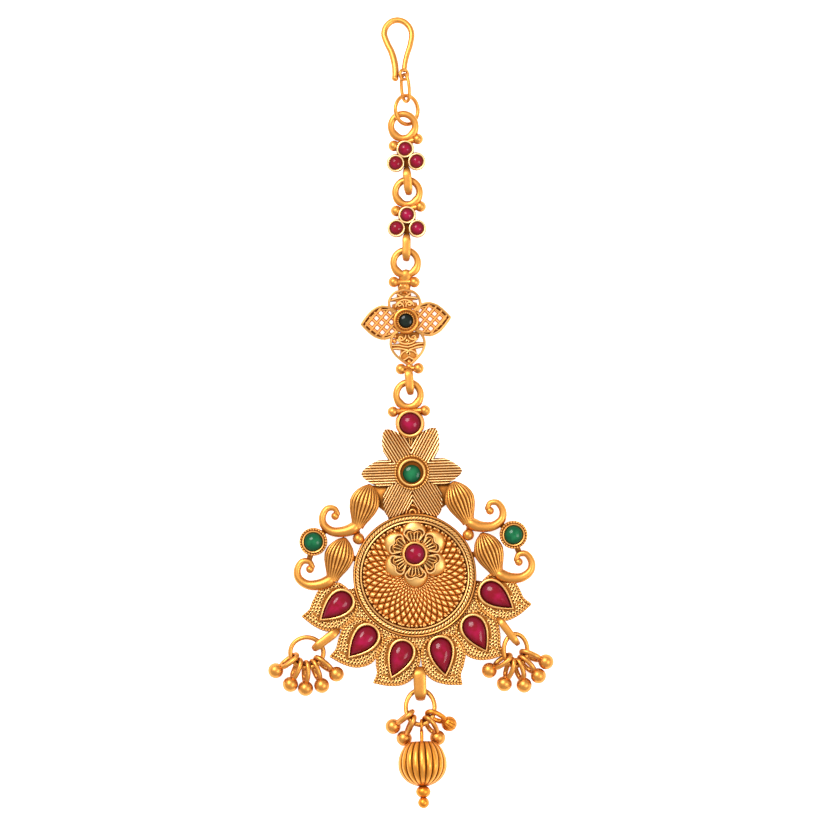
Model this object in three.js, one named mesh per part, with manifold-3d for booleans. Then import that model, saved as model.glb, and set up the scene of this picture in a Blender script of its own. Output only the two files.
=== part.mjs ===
// A maang tikka: a gilt forehead pendant on a short linked chain with a hair hook, laid flat with its
// face up. Millimetres. +Z is up out of the face and +Y runs along the chain to the hook.
import * as THREE from 'three';
import { mergeVertices } from 'three/addons/utils/BufferGeometryUtils.js';
import Module from 'manifold-3d';

const wasm = await Module();
wasm.setup();
const rad = THREE.MathUtils.degToRad;

// Levels over the surface that the jewel lies on
const CHAIN_LEVEL = 1.5;
const HOOK_END_RISE = 0.68;
const LINK_BACK = 0.3;

// Play between pieces that are made apart, and between the drops and the surface
const STONE_GAP = 0.1;
const PIN_GAP = 0.12;
const REST_PLAY = 0.02;

// Edges shorter than this are tidied away
const SLIVER = 0.02;

// Numbers of sides on round things
const RING_SIDES = 12;
const WIRE_SIDES = 6;
const THIN_WIRE_SIDES = 5;
const BEAD_SIDES = 10;
const DROP_SIDES = 10;
const COLLET_SIDES = 10;
const SOLDER_BALL_SIDES = 8;
const DISC_SIDES = 28;

// Chain links: a flat head ring at the top and a strap bail at the foot that holds the next ring
const HEAD_RING = { radius: 2.0, wire: 0.57, flatness: 0.78 };
const BAIL = { height: 2.8, strap: 0.5, width: 1.4 };
const LINK_BALL = 0.9;
const CROSSBAR = 0.5;

// Trefoil link, from its head ring's centre: balls, three collets and the bail
const TREFOIL = {
  ballLeft: [-1.8, -3.1],
  ballRight: [2.2, -2.3],
  stones: [[0, -3.75], [-1.72, -5.95], [1.72, -5.95]],
  backing: { x: 0, y: -5.2, radius: 1.9, top: 1.6 },
  bailStart: -6.7,
  bailLength: 4.7,
};
const SMALL_SETTING = { bore: 1.15, wall: 0.24, base: LINK_BACK, seat: 1.6, rim: 2.45, crown: 2.95 };

// Pierced link, from the centre of its dark stone
const PIERCED = {
  ring: [0.7, 9.57],
  neck: [[0.25, 5.0], [0.65, 7.4]],
  footBall: [0, -7.15],
  upperBalls: [[-1.5, 6.55], [1.9, 6.25]],
  lowerBalls: [[-1.45, -7.85], [1.45, -7.95]],
  bailX: -0.2,
  bailStart: -7.6,
  bailLength: 4.65,
  plateTop: 1.5,
  rim: 0.42,
  rimTop: 1.9,
  pointed: [[1.5, 0.6], [2.7, 0.9], [4.1, 1.0], [5.4, 0.83], [6.5, 0.48], [7.6, 0]],
  rounded: [[1.5, 0.8], [2.7, 1.0], [3.9, 0.95], [4.9, 0.62], [5.35, 0]],
  sideHalf: 2.85,
  topHalf: 2.7,
  footHalf: 3.0,
  mesh: 0.82,
  hole: 0.62,
  sideHoles: [[3, 0], [4, -1], [4, 1], [5, -2], [5, 0], [5, 2], [6, -1], [6, 1], [7, 0]],
  topGaps: [[3.75, 1.5, 0.85], [3.75, -1.5, 0.85], [4.35, 0, 0.4], [3.1, 0, 0.4]],
  footGaps: [[4.6, 1.8, 0.9], [4.6, -1.8, 0.9], [5.2, 0, 0.45], [3.5, 0, 0.45]],
};
const DARK_SETTING = { bore: 1.15, wall: 1.0, base: LINK_BACK, seat: 1.3, rim: 2.6, crown: 2.3 };

// Pendant, from the centre of its disc
const PENDANT_TURN = 2;
const DISC = {
  radius: 10.15,
  rim: 2.2,
  groove: 1.85,
  floor: 1.35,
  ropeRadius: 9.55,
  lineRadius: 8.85,
  faceRadius: 8.6,
  middle: 1.7,
};
const FLOWER = {
  x: 0.15,
  y: 3.55,
  petals: 6,
  petalOut: 3.9,
  petalRadial: 1.8,
  petalAcross: 1.95,
  petalRise: 1.75,
  base: 1.4,
  rosetteRadius: 3.55,
  rosetteWave: 0.4,
  rosetteTop: 2.9,
  stamens: 9,
  stamenTop: 3.1,
};
const SCALES = { rows: 3, around: 20, first: 6.9, growth: 1.26, rise: 0.55 };
const FLOWER_SETTING = { bore: 1.75, wall: 0.35, base: 1.4, seat: 2.6, rim: 3.5, crown: 4.1 };
const STAR = {
  x: 0.1,
  y: 16.95,
  petals: 6,
  length: 8.35,
  half: 2.2,
  shoulder: 5.7,
  edge: 1.25,
  rise: 0.75,
  ribs: 4,
};
const STAR_SETTING = { bore: 1.95, wall: 0.4, base: 0.5, seat: 1.7, rim: 2.8, crown: 2.75 };
const STAR_STONE = 1.55;
const TOP_SETTING = { x: 0.1, y: 25.0, bore: 1.85, wall: 0.45, base: 0.3, seat: 1.7, rim: 2.7, crown: 3.3 };
const SIDE_SETTING = { x: 16.5, y: 6.1, bore: 1.65, wall: 0.65, base: 0.2, seat: 1.6, rim: 2.5, crown: 3.1 };
const PENDANT_RING_Y = 29.77;
const PENDANT_BALLS = { x: 2.65, y: 27.05 };
const RIM_BALLS = { x: 9.05, y: 6.35, radius: 0.97 };
const YOKE = [
  [-6.5, 15], [6.5, 15], [6, 11.8], [4.2, 10.3],
  [3.9, 8.6], [-3.9, 8.6], [-4.2, 10.3], [-6, 11.8],
];
const YOKE_TOP = 0.9;
const STRUTS = [
  [[-16.5, 6.1], [-14.1, 8.2]],
  [[-16.6, 5.2], [-17.4, 2.9]],
  [[-9.4, 3], [-11.6, 3.4]],
  [[-9.1, 6.4], [-9.3, 7.8]],
];
const STRUT = { radius: 0.5, level: 0.8 };

// Ribbed bud with a scrolled tail, as it lies at the pendant's upper left
const BUD_ROOT = [-6.95, 14.85];
const BUD_FOOT = [-9.2, 8.25];
const BUD_RIBS = 5;
const BUD_BACK = [225, 315];
const BUD_GROOVE = 0.09;
const BUD_LEVEL = 1.45;
const BUD_FLATNESS = 0.58;
const BUD_SECTIONS = [
  { along: 0.0, half: 0.8 },
  { along: 0.14, half: 1.85 },
  { along: 0.42, half: 2.5 },
  { along: 0.74, half: 1.75 },
  { along: 1.0, half: 0.95 },
];
const TAIL_SECTIONS = [
  { x: -8.85, y: 8.4, radius: 0.95 },
  { x: -11.2, y: 7.6, radius: 0.86 },
  { x: -13.3, y: 7.7, radius: 0.76 },
  { x: -14.65, y: 8.75, radius: 0.68 },
  { x: -14.85, y: 10.2, radius: 0.6 },
  { x: -14.0, y: 11.5, radius: 0.54 },
  { x: -12.8, y: 11.45, radius: 0.48 },
  { x: -12.35, y: 10.6, radius: 0.46 },
];
const TAIL_BULB = { x: -12.75, y: 10.2, radius: 0.66 };
const TAIL_SIDES = 6;
const LOWER_BUD_SHIFT = [-4.45, -8.6];

// Mango leaves round the disc's foot, each with a pear stone whose tip points to "tip" degrees
const LEAF_RING = 14.0;
const LEAVES = [
  { around: 199.7, tip: 218.4, side: 1 },
  { around: 229.6, tip: 227.1, side: 1 },
  { around: 257.5, tip: 245.4, side: 1 },
  { around: 286.8, tip: 278.1, side: -1 },
  { around: 314.9, tip: 296.7, side: -1 },
  { around: 343.6, tip: 321.0, side: -1 },
];
const LEAF_OUTLINE = [
  [-2.4, -5.35], [0.28, -4.74], [2.18, -3.66], [3.3, -1.96], [3.41, -0.21], [2.95, 1.8],
  [1.88, 3.07], [-0.09, 3.49], [-2.3, 2.91], [-3.15, 0.03], [-2.72, -2.36], [-2.33, -3.7],
];
const LEAF_SMOOTHING = 14;
const LEAF_TOP = 1.6;
const PEAR = {
  length: 6.1,
  width: 3.6,
  wall: 0.36,
  points: 12,
  play: 0.14,
  seat: 1.4,
  rim: 2.35,
  crown: 3.05,
};
const COLLAR = { from: 192, to: 351, outer: 12.4, top: 1.3, steps: 12 };

// Bails under the leaves, from the disc's centre
const SIDE_BAIL_WIDTH = 1.45;
const FOOT_BAIL = { x: 0.25, y: -15.0, heading: 270, length: 5.7, width: 2.1, strap: 0.6 };
const LEFT_BAIL = { x: -12.7, y: -8.45, heading: 215.2, length: 5.6, width: SIDE_BAIL_WIDTH, strap: 0.55 };
const RIGHT_BAIL = { x: 13.4, y: -7.35, heading: 305, length: 5.8, width: 1.25, strap: 0.5 };

// Where the links lie, from the centre of the disc
const TREFOIL_LENGTH = 11.4;
const TREFOIL_LINKS = [
  { name: 'upper', x: -1.91, y: 74.02, turn: 4.7, rise: HOOK_END_RISE },
  { name: 'lower', x: -1.2, y: 63.08, turn: -1 },
];
const PIERCED_LINK = { x: -1.45, y: 41.91, turn: 4.5 };

// Hair hook, from the middle of its eye, with the small link and the jump ring that join it to the chain
const HOOK_EYE = { x: -1.77, y: 82.42, radius: 0.82, wire: 0.27 };
const HOOK_WIRE = 0.43;
const HOOK_SLOPE = -0.187;
const HOOK_STEPS = 20;
const HOOK_LINE = [
  [-1.45, -0.6], [-1.4, 0.3], [-1.5, 1.6], [-2.0, 3.6], [-2.85, 5.4], [-3.27, 6.8],
  [-2.95, 8.0], [-2.1, 8.85], [-1.1, 9.1], [-0.05, 8.85], [0.85, 8.0], [1.26, 6.8],
  [1.02, 5.0], [0.5, 3.3], [0.18, 1.9], [0.05, 0.8],
];
const HOOK_LINK = {
  x: -1.54,
  y: 80.2,
  halfWidth: 0.97,
  halfLength: 2.2,
  wire: 0.29,
  power: 0.8,
  roll: -50,
  turn: 5,
  level: CHAIN_LEVEL + HOOK_END_RISE,
};
const CHAIN_JUMP_RING = {
  x: -1.32,
  y: 76.6,
  halfWidth: 2.6,
  halfLength: 2.36,
  wire: 0.33,
  roll: 45,
  level: CHAIN_LEVEL + HOOK_END_RISE,
};

// Jump rings under the pendant, and the ball drops that hang on each, by place on the ring and heading
const BALL = 1.27;
const DROP_LOOP = { out: 2.75, halfLength: 1.6, halfHeight: 0.95, power: 0.85, wire: 0.3, steps: 8 };
const CLUSTERS = [
  {
    name: 'left',
    ring: { x: -17.77, y: -12.71, halfWidth: 2.72, halfLength: 2.5, wire: 0.4, level: 1.5 },
    drops: [
      { at: 205, heading: 216, reach: 3.3 },
      { at: 238, heading: 248, reach: 3.4 },
      { at: 268, heading: 268, reach: 3.45 },
      { at: 297, heading: 291, reach: 3.45 },
      { at: 325, heading: 321, reach: 3.4 },
    ],
  },
  {
    name: 'right',
    ring: { x: 16.6, y: -12.29, halfWidth: 1.98, halfLength: 2.64, wire: 0.38, roll: 12, level: 1.67 },
    drops: [
      { at: 214, heading: 215, reach: 3.4 },
      { at: 247, heading: 251, reach: 3.4 },
      { at: 283, heading: 287, reach: 3.4 },
      { at: 315, heading: 315, reach: 3.4 },
      { at: 345, heading: 338, reach: 3.4 },
    ],
  },
  {
    name: 'foot',
    ring: { x: 0.91, y: -21.7, halfWidth: 2.36, halfLength: 2.9, wire: 0.36, pitch: -15, level: 2.2 },
    drops: [
      { at: 208, heading: 218, reach: 3.3 },
      { at: 236, heading: 245, reach: 3.5 },
      { at: 305, heading: 299, reach: 3.5 },
      { at: 334, heading: 330, reach: 3.3 },
    ],
  },
];

// Main drop: a fluted bead, a spacer and a ball-headed pin with an eye, lying on the bead's belly
const MAIN_DROP = {
  x: 1.28, y: -31.0, radius: 4.0, halfLength: 3.5, flutes: 16, groove: 0.09,
  pinWire: 0.3, eye: { x: 1.1, y: -24.62, z: 3.0, radius: 0.86, wire: 0.23 },
  spacer: { out: 4.45, radius: 1.08, halfLength: 0.85 },
  head: { out: 6.25, radius: 0.85 },
};

// Finishes
const gold = new THREE.MeshStandardMaterial({ color: 0xe3a34a, roughness: 0.38, metalness: 1 });
const ruby = new THREE.MeshStandardMaterial({ color: 0xa3103c, roughness: 0.12, metalness: 0 });
const emerald = new THREE.MeshStandardMaterial({ color: 0x0c7a4c, roughness: 0.12, metalness: 0 });
const darkStone = new THREE.MeshStandardMaterial({ color: 0x1c2a26, roughness: 0.12, metalness: 0 });

// Joining and cutting

function solidOf(geometry) {
  const bare = new THREE.BufferGeometry().setAttribute('position', geometry.getAttribute('position'));
  bare.setIndex(geometry.index);
  const merged = mergeVertices(bare, 1e-4);
  const corners = Array.from(merged.index.array);
  const triangles = [];
  for (let i = 0; i < corners.length; i += 3) {
    const [a, b, c] = corners.slice(i, i + 3);
    if (a !== b && b !== c && c !== a) triangles.push([a, b, c]);
  }
  const build = (faces) => new wasm.Manifold(new wasm.Mesh({
    numProp: 3,
    vertProperties: merged.attributes.position.array,
    triVerts: new Uint32Array(faces.flat()),
  }));
  const solid = build(triangles);
  return solid.volume() > 0 ? solid : build(triangles.map(([a, b, c]) => [a, c, b]));
}

function joined(geometries) {
  return geometries.map(solidOf).reduce((whole, next) => whole.add(next));
}

// One closed geometry out of pieces that overlap, less the cutters.
function fuse(geometries, cutters = []) {
  const whole = joined(geometries);
  const cut = cutters.length ? whole.subtract(joined(cutters)) : whole;
  const mesh = cut.simplify(SLIVER).getMesh();
  const geometry = new THREE.BufferGeometry();
  geometry.setAttribute('position', new THREE.BufferAttribute(new Float32Array(mesh.vertProperties), 3));
  geometry.setIndex(new THREE.BufferAttribute(new Uint32Array(mesh.triVerts), 1));
  geometry.computeVertexNormals();
  return geometry;
}

// The part of a geometry that lies inside another one.
function shared(geometry, other) {
  const mesh = solidOf(geometry).intersect(solidOf(other)).getMesh();
  const result = new THREE.BufferGeometry();
  result.setAttribute('position', new THREE.BufferAttribute(new Float32Array(mesh.vertProperties), 3));
  result.setIndex(new THREE.BufferAttribute(new Uint32Array(mesh.triVerts), 1));
  return result;
}

function moved(geometries, x, y, turn = 0) {
  const place = new THREE.Matrix4().makeRotationZ(rad(turn)).setPosition(x, y, 0);
  return geometries.map((geometry) => geometry.clone().applyMatrix4(place));
}

function mirrored(geometries) {
  return geometries.map((geometry) => geometry.clone().scale(-1, 1, 1));
}

// Basic shapes

// A profile of [radius, height] pairs turned round the Z axis.
function turned(profile, sides) {
  const points = profile.map(([radius, height]) => new THREE.Vector2(radius, height));
  return new THREE.LatheGeometry(points, sides).rotateX(Math.PI / 2);
}

function ball(radius, x, y, z, sides = BEAD_SIDES) {
  const round = new THREE.SphereGeometry(radius, sides, Math.round(sides / 2));
  return round.rotateX(Math.PI / 2).translate(x, y, z);
}

function rod(from, to, radius, sides = WIRE_SIDES) {
  const start = new THREE.Vector3(...from);
  const line = new THREE.Vector3(...to).sub(start);
  const place = new THREE.Matrix4().makeRotationFromQuaternion(
    new THREE.Quaternion().setFromUnitVectors(new THREE.Vector3(0, 1, 0), line.clone().normalize()),
  );
  place.setPosition(start.clone().addScaledVector(line, 0.5));
  return new THREE.CylinderGeometry(radius, radius, line.length(), sides).applyMatrix4(place);
}

function plate(outline, bottom, top) {
  const shape = new THREE.Shape(outline.map(([x, y]) => new THREE.Vector2(x, y)));
  const slab = new THREE.ExtrudeGeometry(shape, { depth: top - bottom, bevelEnabled: false });
  return slab.translate(0, 0, bottom);
}

// A skin over rings of points that have equal numbers, closed by a fan at each end.
function loft(rings) {
  const count = rings[0].length;
  const points = rings.flat();
  const middle = (ring) => ring.reduce((sum, p) => sum.add(p), new THREE.Vector3()).divideScalar(count);
  const first = points.push(middle(rings[0])) - 1;
  const last = points.push(middle(rings[rings.length - 1])) - 1;
  const faces = [];
  for (let j = 0; j < count; j++) {
    const next = (j + 1) % count;
    faces.push(first, next, j);
    for (let i = 0; i + 1 < rings.length; i++) {
      const low = i * count;
      const high = low + count;
      faces.push(low + j, low + next, high + next, low + j, high + next, high + j);
    }
    const top = (rings.length - 1) * count;
    faces.push(last, top + j, top + next);
  }
  return new THREE.BufferGeometry().setFromPoints(points).setIndex(faces);
}

// A closed wire ring in the XY plane, round its own centre; a power under 1 fills out its corners.
class Oval extends THREE.Curve {
  constructor(halfWidth, halfLength, power = 1) {
    super();
    this.halfWidth = halfWidth;
    this.halfLength = halfLength;
    this.power = power;
  }
  getPoint(t, target = new THREE.Vector3()) {
    const angle = 2 * Math.PI * t;
    const part = (value) => Math.sign(value) * Math.abs(value) ** this.power;
    return target.set(this.halfWidth * part(Math.cos(angle)), this.halfLength * part(Math.sin(angle)), 0);
  }
}

function ovalRing({ halfWidth, halfLength, wire, power }) {
  return new THREE.TubeGeometry(new Oval(halfWidth, halfLength, power), RING_SIDES, wire, WIRE_SIDES, true);
}

// Jewellery parts

// A strap loop that stands on edge, from (x, y) along its heading, round the chain's level.
function bail({ x, y, heading, length, width, strap, height = BAIL.height }) {
  const stadium = (path, start, end, radius) => {
    path.absarc(start + radius, 0, radius, Math.PI / 2, 1.5 * Math.PI);
    path.absarc(end - radius, 0, radius, -Math.PI / 2, Math.PI / 2);
    return path;
  };
  const shape = stadium(new THREE.Shape(), 0, length, height / 2);
  shape.holes.push(stadium(new THREE.Path(), strap, length - strap, height / 2 - strap));
  const along = new THREE.Vector3(Math.cos(rad(heading)), Math.sin(rad(heading)), 0);
  const up = new THREE.Vector3(0, 0, 1);
  const across = new THREE.Vector3().crossVectors(along, up);
  const place = new THREE.Matrix4().makeBasis(along, up, across);
  place.setPosition(new THREE.Vector3(x, y, CHAIN_LEVEL).addScaledVector(across, -width / 2));
  const options = { depth: width, bevelEnabled: false, curveSegments: 3 };
  return new THREE.ExtrudeGeometry(shape, options).applyMatrix4(place);
}

function headRing(x, y) {
  const { radius, wire, flatness } = HEAD_RING;
  const ring = new THREE.TorusGeometry(radius, wire, WIRE_SIDES, RING_SIDES).scale(1, 1, flatness);
  return ring.translate(x, y, CHAIN_LEVEL);
}

function crossbar([leftX, leftY], [rightX, rightY], level = CHAIN_LEVEL) {
  return [
    ball(LINK_BALL, leftX, leftY, level, SOLDER_BALL_SIDES),
    ball(LINK_BALL, rightX, rightY, level, SOLDER_BALL_SIDES),
    rod([leftX, leftY, level], [rightX, rightY, level], CROSSBAR),
  ];
}

function collet({ bore, wall, base, seat, rim }, x, y) {
  const outer = bore + wall;
  const profile = [[0, base], [outer, base], [outer, rim], [bore, rim], [bore, seat], [0, seat]];
  return turned(profile, COLLET_SIDES).translate(x, y, 0);
}

// A smooth domed stone that sits in a collet with a little play.
function cabochon({ bore, seat, rim, crown }, radius = bore - STONE_GAP) {
  const foot = seat + STONE_GAP;
  const girdle = Math.min(rim, crown) - 0.35 * radius;
  const dome = [0, 30, 58].map((step) => (
    [radius * Math.cos(rad(step)), girdle + (crown - girdle) * Math.sin(rad(step))]
  ));
  return turned([[0, foot], [radius, foot], ...dome, [0, crown]], COLLET_SIDES);
}

// A pear outline with its tip on -Y, shrunk or grown all round by an offset.
function pearPoints(offset, z, share = 1) {
  const { length, width, points } = PEAR;
  return Array.from({ length: points }, (_, i) => {
    const angle = (2 * Math.PI * i) / points;
    const across = 1.3 * (width / 2 + offset) * Math.sin(angle) * Math.sin(angle / 2);
    return new THREE.Vector3(share * across, -share * (length / 2 + offset) * Math.cos(angle), z);
  });
}

function pearStone() {
  const { play, seat, rim, crown } = PEAR;
  const rise = crown - rim + 0.35;
  return loft([
    pearPoints(-play, seat + STONE_GAP),
    pearPoints(-play, rim - 0.35),
    pearPoints(-play, rim - 0.35 + 0.65 * rise, 0.75),
    pearPoints(-play, crown, 0.25),
  ]);
}

// A leaf plate with its pear wall, and the cutter that sinks the stone's seat, from the stone's centre.
function leaf() {
  const corners = LEAF_OUTLINE.map(([x, y]) => new THREE.Vector3(x, y, 0));
  const tip = corners.shift();
  const curve = new THREE.CatmullRomCurve3([tip, ...corners, tip.clone()], false, 'centripetal');
  const outline = curve.getPoints(LEAF_SMOOTHING).slice(0, -1).map(({ x, y }) => [x, y]);
  return [plate(outline, 0, LEAF_TOP), loft([pearPoints(PEAR.wall, 0.5), pearPoints(PEAR.wall, PEAR.rim)])];
}

const leafSeat = () => loft([pearPoints(0, PEAR.seat), pearPoints(0, PEAR.rim + 0.5)]);

function onLeaf(geometries, { around, tip, side }) {
  const turned = moved(geometries.map((g) => (side < 0 ? mirrored([g])[0] : g)), 0, 0, tip + 90);
  const angle = rad(around);
  return moved(turned, LEAF_RING * Math.cos(angle), LEAF_RING * Math.sin(angle));
}

// A ribbed bud that narrows into a tail, which curls up into a small bulb.
function scrolledBud() {
  const root = new THREE.Vector3(...BUD_ROOT, BUD_LEVEL);
  const foot = new THREE.Vector3(...BUD_FOOT, BUD_LEVEL);
  const along = foot.clone().sub(root).normalize();
  const across = new THREE.Vector3(-along.y, along.x, 0);
  const budRings = BUD_SECTIONS.map(({ along: share, half }) => {
    const centre = root.clone().lerp(foot, share);
    const front = Array.from({ length: 2 * BUD_RIBS + 1 }, (_, i) => (180 * i) / (2 * BUD_RIBS));
    return [...front, ...BUD_BACK].map((angle, i) => {
      const reach = half * (i % 2 || i > front.length ? 1 : 1 - BUD_GROOVE);
      const rise = BUD_FLATNESS * reach * Math.sin(rad(angle));
      const spot = centre.clone().addScaledVector(across, reach * Math.cos(rad(angle)));
      return spot.add(new THREE.Vector3(0, 0, rise));
    });
  });
  const tailRings = TAIL_SECTIONS.map(({ x, y, radius }, i) => {
    const before = TAIL_SECTIONS[Math.max(i - 1, 0)];
    const after = TAIL_SECTIONS[Math.min(i + 1, TAIL_SECTIONS.length - 1)];
    const heading = Math.atan2(after.y - before.y, after.x - before.x);
    return Array.from({ length: TAIL_SIDES }, (_, j) => {
      const angle = (2 * Math.PI * j) / TAIL_SIDES;
      const out = radius * Math.cos(angle);
      return new THREE.Vector3(
        x - out * Math.sin(heading), y + out * Math.cos(heading), BUD_LEVEL + radius * Math.sin(angle),
      );
    });
  });
  const bulb = ball(TAIL_BULB.radius, TAIL_BULB.x, TAIL_BULB.y, BUD_LEVEL, SOLDER_BALL_SIDES);
  return [loft(budRings), loft(tailRings), bulb];
}

// One pointed petal along +X whose top is ridged along its length.
function ribbedPetal() {
  const { length, half, shoulder, edge, rise, ribs } = STAR;
  const taper = 0.62 * half;
  const bend = shoulder + 0.52 * (length - shoulder);
  const lower = [[0, -half], [shoulder, -half], [bend, -taper]];
  const upper = [[bend, taper], [shoulder, half], [0, half]];
  const outline = [...lower, [length, 0], ...upper];
  const pitch = (2 * half) / ribs;
  const ridges = Array.from({ length: 2 * ribs + 1 }, (_, i) => {
    const across = -half - 0.01 + (i * (2 * half + 0.02)) / (2 * ribs);
    const swell = rise * (1 - (across / half) ** 2);
    return new THREE.Vector2(across, edge + swell - (i % 2 ? 0 : 0.45 * pitch));
  });
  const feet = [-half - 0.01, half + 0.01].map((across) => new THREE.Vector2(across, 0));
  const profile = new THREE.Shape([feet[0], ...ridges, feet[1]]);
  const block = new THREE.ExtrudeGeometry(profile, { depth: length, bevelEnabled: false });
  const place = new THREE.Matrix4().makeBasis(
    new THREE.Vector3(0, 1, 0), new THREE.Vector3(0, 0, 1), new THREE.Vector3(1, 0, 0),
  );
  return shared(block.applyMatrix4(place), plate(outline, 0, 4));
}

function star() {
  const petal = ribbedPetal();
  const turn = 360 / STAR.petals;
  return Array.from({ length: STAR.petals }, (_, i) => moved([petal], STAR.x, STAR.y, turn * i)[0]);
}

function disc() {
  const { radius, rim, groove, floor, ropeRadius, lineRadius, faceRadius, middle } = DISC;
  return turned([
    [0, 0], [radius - 0.15, 0], [radius, 0.2], [radius, groove], [ropeRadius + 0.15, rim],
    [9.2, groove], [lineRadius, rim], [faceRadius, floor], [0, middle],
  ], DISC_SIDES);
}

// Raised lozenges that fan out from under the flower, each row turned by half a step.
function scales() {
  const { rows, around, first, growth, rise } = SCALES;
  const lozenges = [];
  for (let row = 0; row < rows; row++) {
    const out = first * growth ** row;
    const half = (Math.PI * out) / around;
    for (let i = 0; i < around; i++) {
      const angle = (2 * Math.PI * (i + (row % 2) / 2)) / around;
      const x = FLOWER.x + out * Math.cos(angle);
      const y = FLOWER.y + out * Math.sin(angle);
      if (Math.hypot(x, y) > DISC.faceRadius - 0.35 * half) continue;
      const cone = new THREE.ConeGeometry(half, rise + 0.4, 4).rotateX(Math.PI / 2).scale(1.35, 0.9, 1);
      lozenges.push(...moved([cone.translate(0, 0, DISC.floor + rise / 2)], x, y, (angle * 180) / Math.PI));
    }
  }
  return lozenges;
}

function flower() {
  const { petals, petalOut, petalRadial, petalAcross, petalRise, base } = FLOWER;
  const { rosetteRadius, rosetteWave, rosetteTop, stamens, stamenTop } = FLOWER;
  const parts = [];
  for (let i = 0; i < petals; i++) {
    const petal = turned([[0, 0], [1, 0], [0.78, 0.62], [0.3, 0.95], [0, 1]], SOLDER_BALL_SIDES);
    petal.scale(petalRadial, petalAcross, petalRise).translate(petalOut, 0, base);
    parts.push(...moved([petal], 0, 0, 30 + (360 / petals) * i));
  }
  const outline = Array.from({ length: 18 }, (_, i) => {
    const angle = (2 * Math.PI * i) / 18;
    const reach = rosetteRadius + rosetteWave * Math.cos(petals * (angle - Math.PI / 6));
    return [reach * Math.cos(angle), reach * Math.sin(angle)];
  });
  parts.push(plate(outline, base, rosetteTop));
  for (let i = 0; i < stamens; i++) {
    const stamen = new THREE.BoxGeometry(1.5, 0.26, stamenTop - base);
    stamen.translate(2.7, 0, (stamenTop + base) / 2);
    parts.push(...moved([stamen], 0, 0, (360 / stamens) * (i + 0.5)));
  }
  parts.push(collet(FLOWER_SETTING, 0, 0));
  return moved(parts, FLOWER.x, FLOWER.y);
}

function collar() {
  const { from, to, outer, top, steps } = COLLAR;
  const edge = (reach, reverse) => Array.from({ length: steps + 1 }, (_, i) => {
    const angle = rad(from + ((to - from) * (reverse ? steps - i : i)) / steps);
    return [reach * Math.cos(angle), reach * Math.sin(angle)];
  });
  return plate([...edge(outer, false), ...edge(DISC.radius - 1, true)], 0, top);
}

function pendantFrame() {
  const struts = STRUTS.map(([from, to]) => rod([...from, STRUT.level], [...to, STRUT.level], STRUT.radius));
  const buds = [...scrolledBud(), ...moved(scrolledBud(), ...LOWER_BUD_SHIFT), ...struts];
  const { x, y, radius } = RIM_BALLS;
  const parts = [
    disc(), ...scales(), ...flower(), collar(), plate(YOKE, 0, YOKE_TOP), ...star(),
    ...buds, ...mirrored(buds), ...LEAVES.flatMap((place) => onLeaf(leaf(), place)),
    turned([[0, 0], [2.9, 0], [2.9, 1.9], [2.6, 2.3], [0, 2.3]], 16).translate(STAR.x, STAR.y, 0),
    collet(STAR_SETTING, STAR.x, STAR.y), collet(TOP_SETTING, TOP_SETTING.x, TOP_SETTING.y),
    collet(SIDE_SETTING, -SIDE_SETTING.x, SIDE_SETTING.y),
    collet(SIDE_SETTING, SIDE_SETTING.x, SIDE_SETTING.y),
    ball(radius, -x, y, CHAIN_LEVEL, SOLDER_BALL_SIDES), ball(radius, x, y, CHAIN_LEVEL, SOLDER_BALL_SIDES),
    headRing(0, PENDANT_RING_Y),
    ...crossbar([-PENDANT_BALLS.x, PENDANT_BALLS.y], [PENDANT_BALLS.x, PENDANT_BALLS.y]),
    bail(FOOT_BAIL), bail(LEFT_BAIL), bail(RIGHT_BAIL),
  ];
  const sink = ({ bore, seat, rim }, atX, atY) => (
    turned([[0, seat], [bore, seat], [bore, rim + 1], [0, rim + 1]], COLLET_SIDES).translate(atX, atY, 0)
  );
  const cutters = [
    ...LEAVES.flatMap((place) => onLeaf([leafSeat()], place)),
    sink(STAR_SETTING, STAR.x, STAR.y),
    sink(TOP_SETTING, TOP_SETTING.x, TOP_SETTING.y),
    sink(FLOWER_SETTING, FLOWER.x, FLOWER.y),
    sink(SIDE_SETTING, -SIDE_SETTING.x, SIDE_SETTING.y),
    sink(SIDE_SETTING, SIDE_SETTING.x, SIDE_SETTING.y),
  ];
  return fuse(parts, cutters);
}

function trefoilLink() {
  const { ballLeft, ballRight, stones, backing, bailStart, bailLength } = TREFOIL;
  const parts = [
    headRing(0, 0), ...crossbar(ballLeft, ballRight),
    turned([[0, LINK_BACK], [backing.radius, LINK_BACK], [backing.radius, backing.top], [0, backing.top]], 8)
      .translate(backing.x, backing.y, 0),
    bail({ x: 0, y: bailStart, heading: 270, length: bailLength, width: BAIL.width, strap: BAIL.strap }),
    ...stones.map(([x, y]) => collet(SMALL_SETTING, x, y)),
  ];
  const { bore, seat, rim } = SMALL_SETTING;
  const cutter = turned([[0, seat], [bore, seat], [bore, rim + 1], [0, rim + 1]], COLLET_SIDES);
  return fuse(parts, stones.map(([x, y]) => cutter.clone().translate(x, y, 0)));
}

// A petal's outline along +X from its half outline, shrunk all round by an inset.
function petalOutline(halfOutline, half, inset = 0) {
  const tip = halfOutline[halfOutline.length - 1][0];
  const shrink = 1 - (1.3 * inset) / tip;
  const side = halfOutline.slice(0, -1).map(([x, share]) => [x * shrink, share * (half - inset)]);
  return [...side.map(([x, y]) => [x, -y]), [tip - 1.3 * inset, 0], ...side.reverse()];
}

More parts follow.
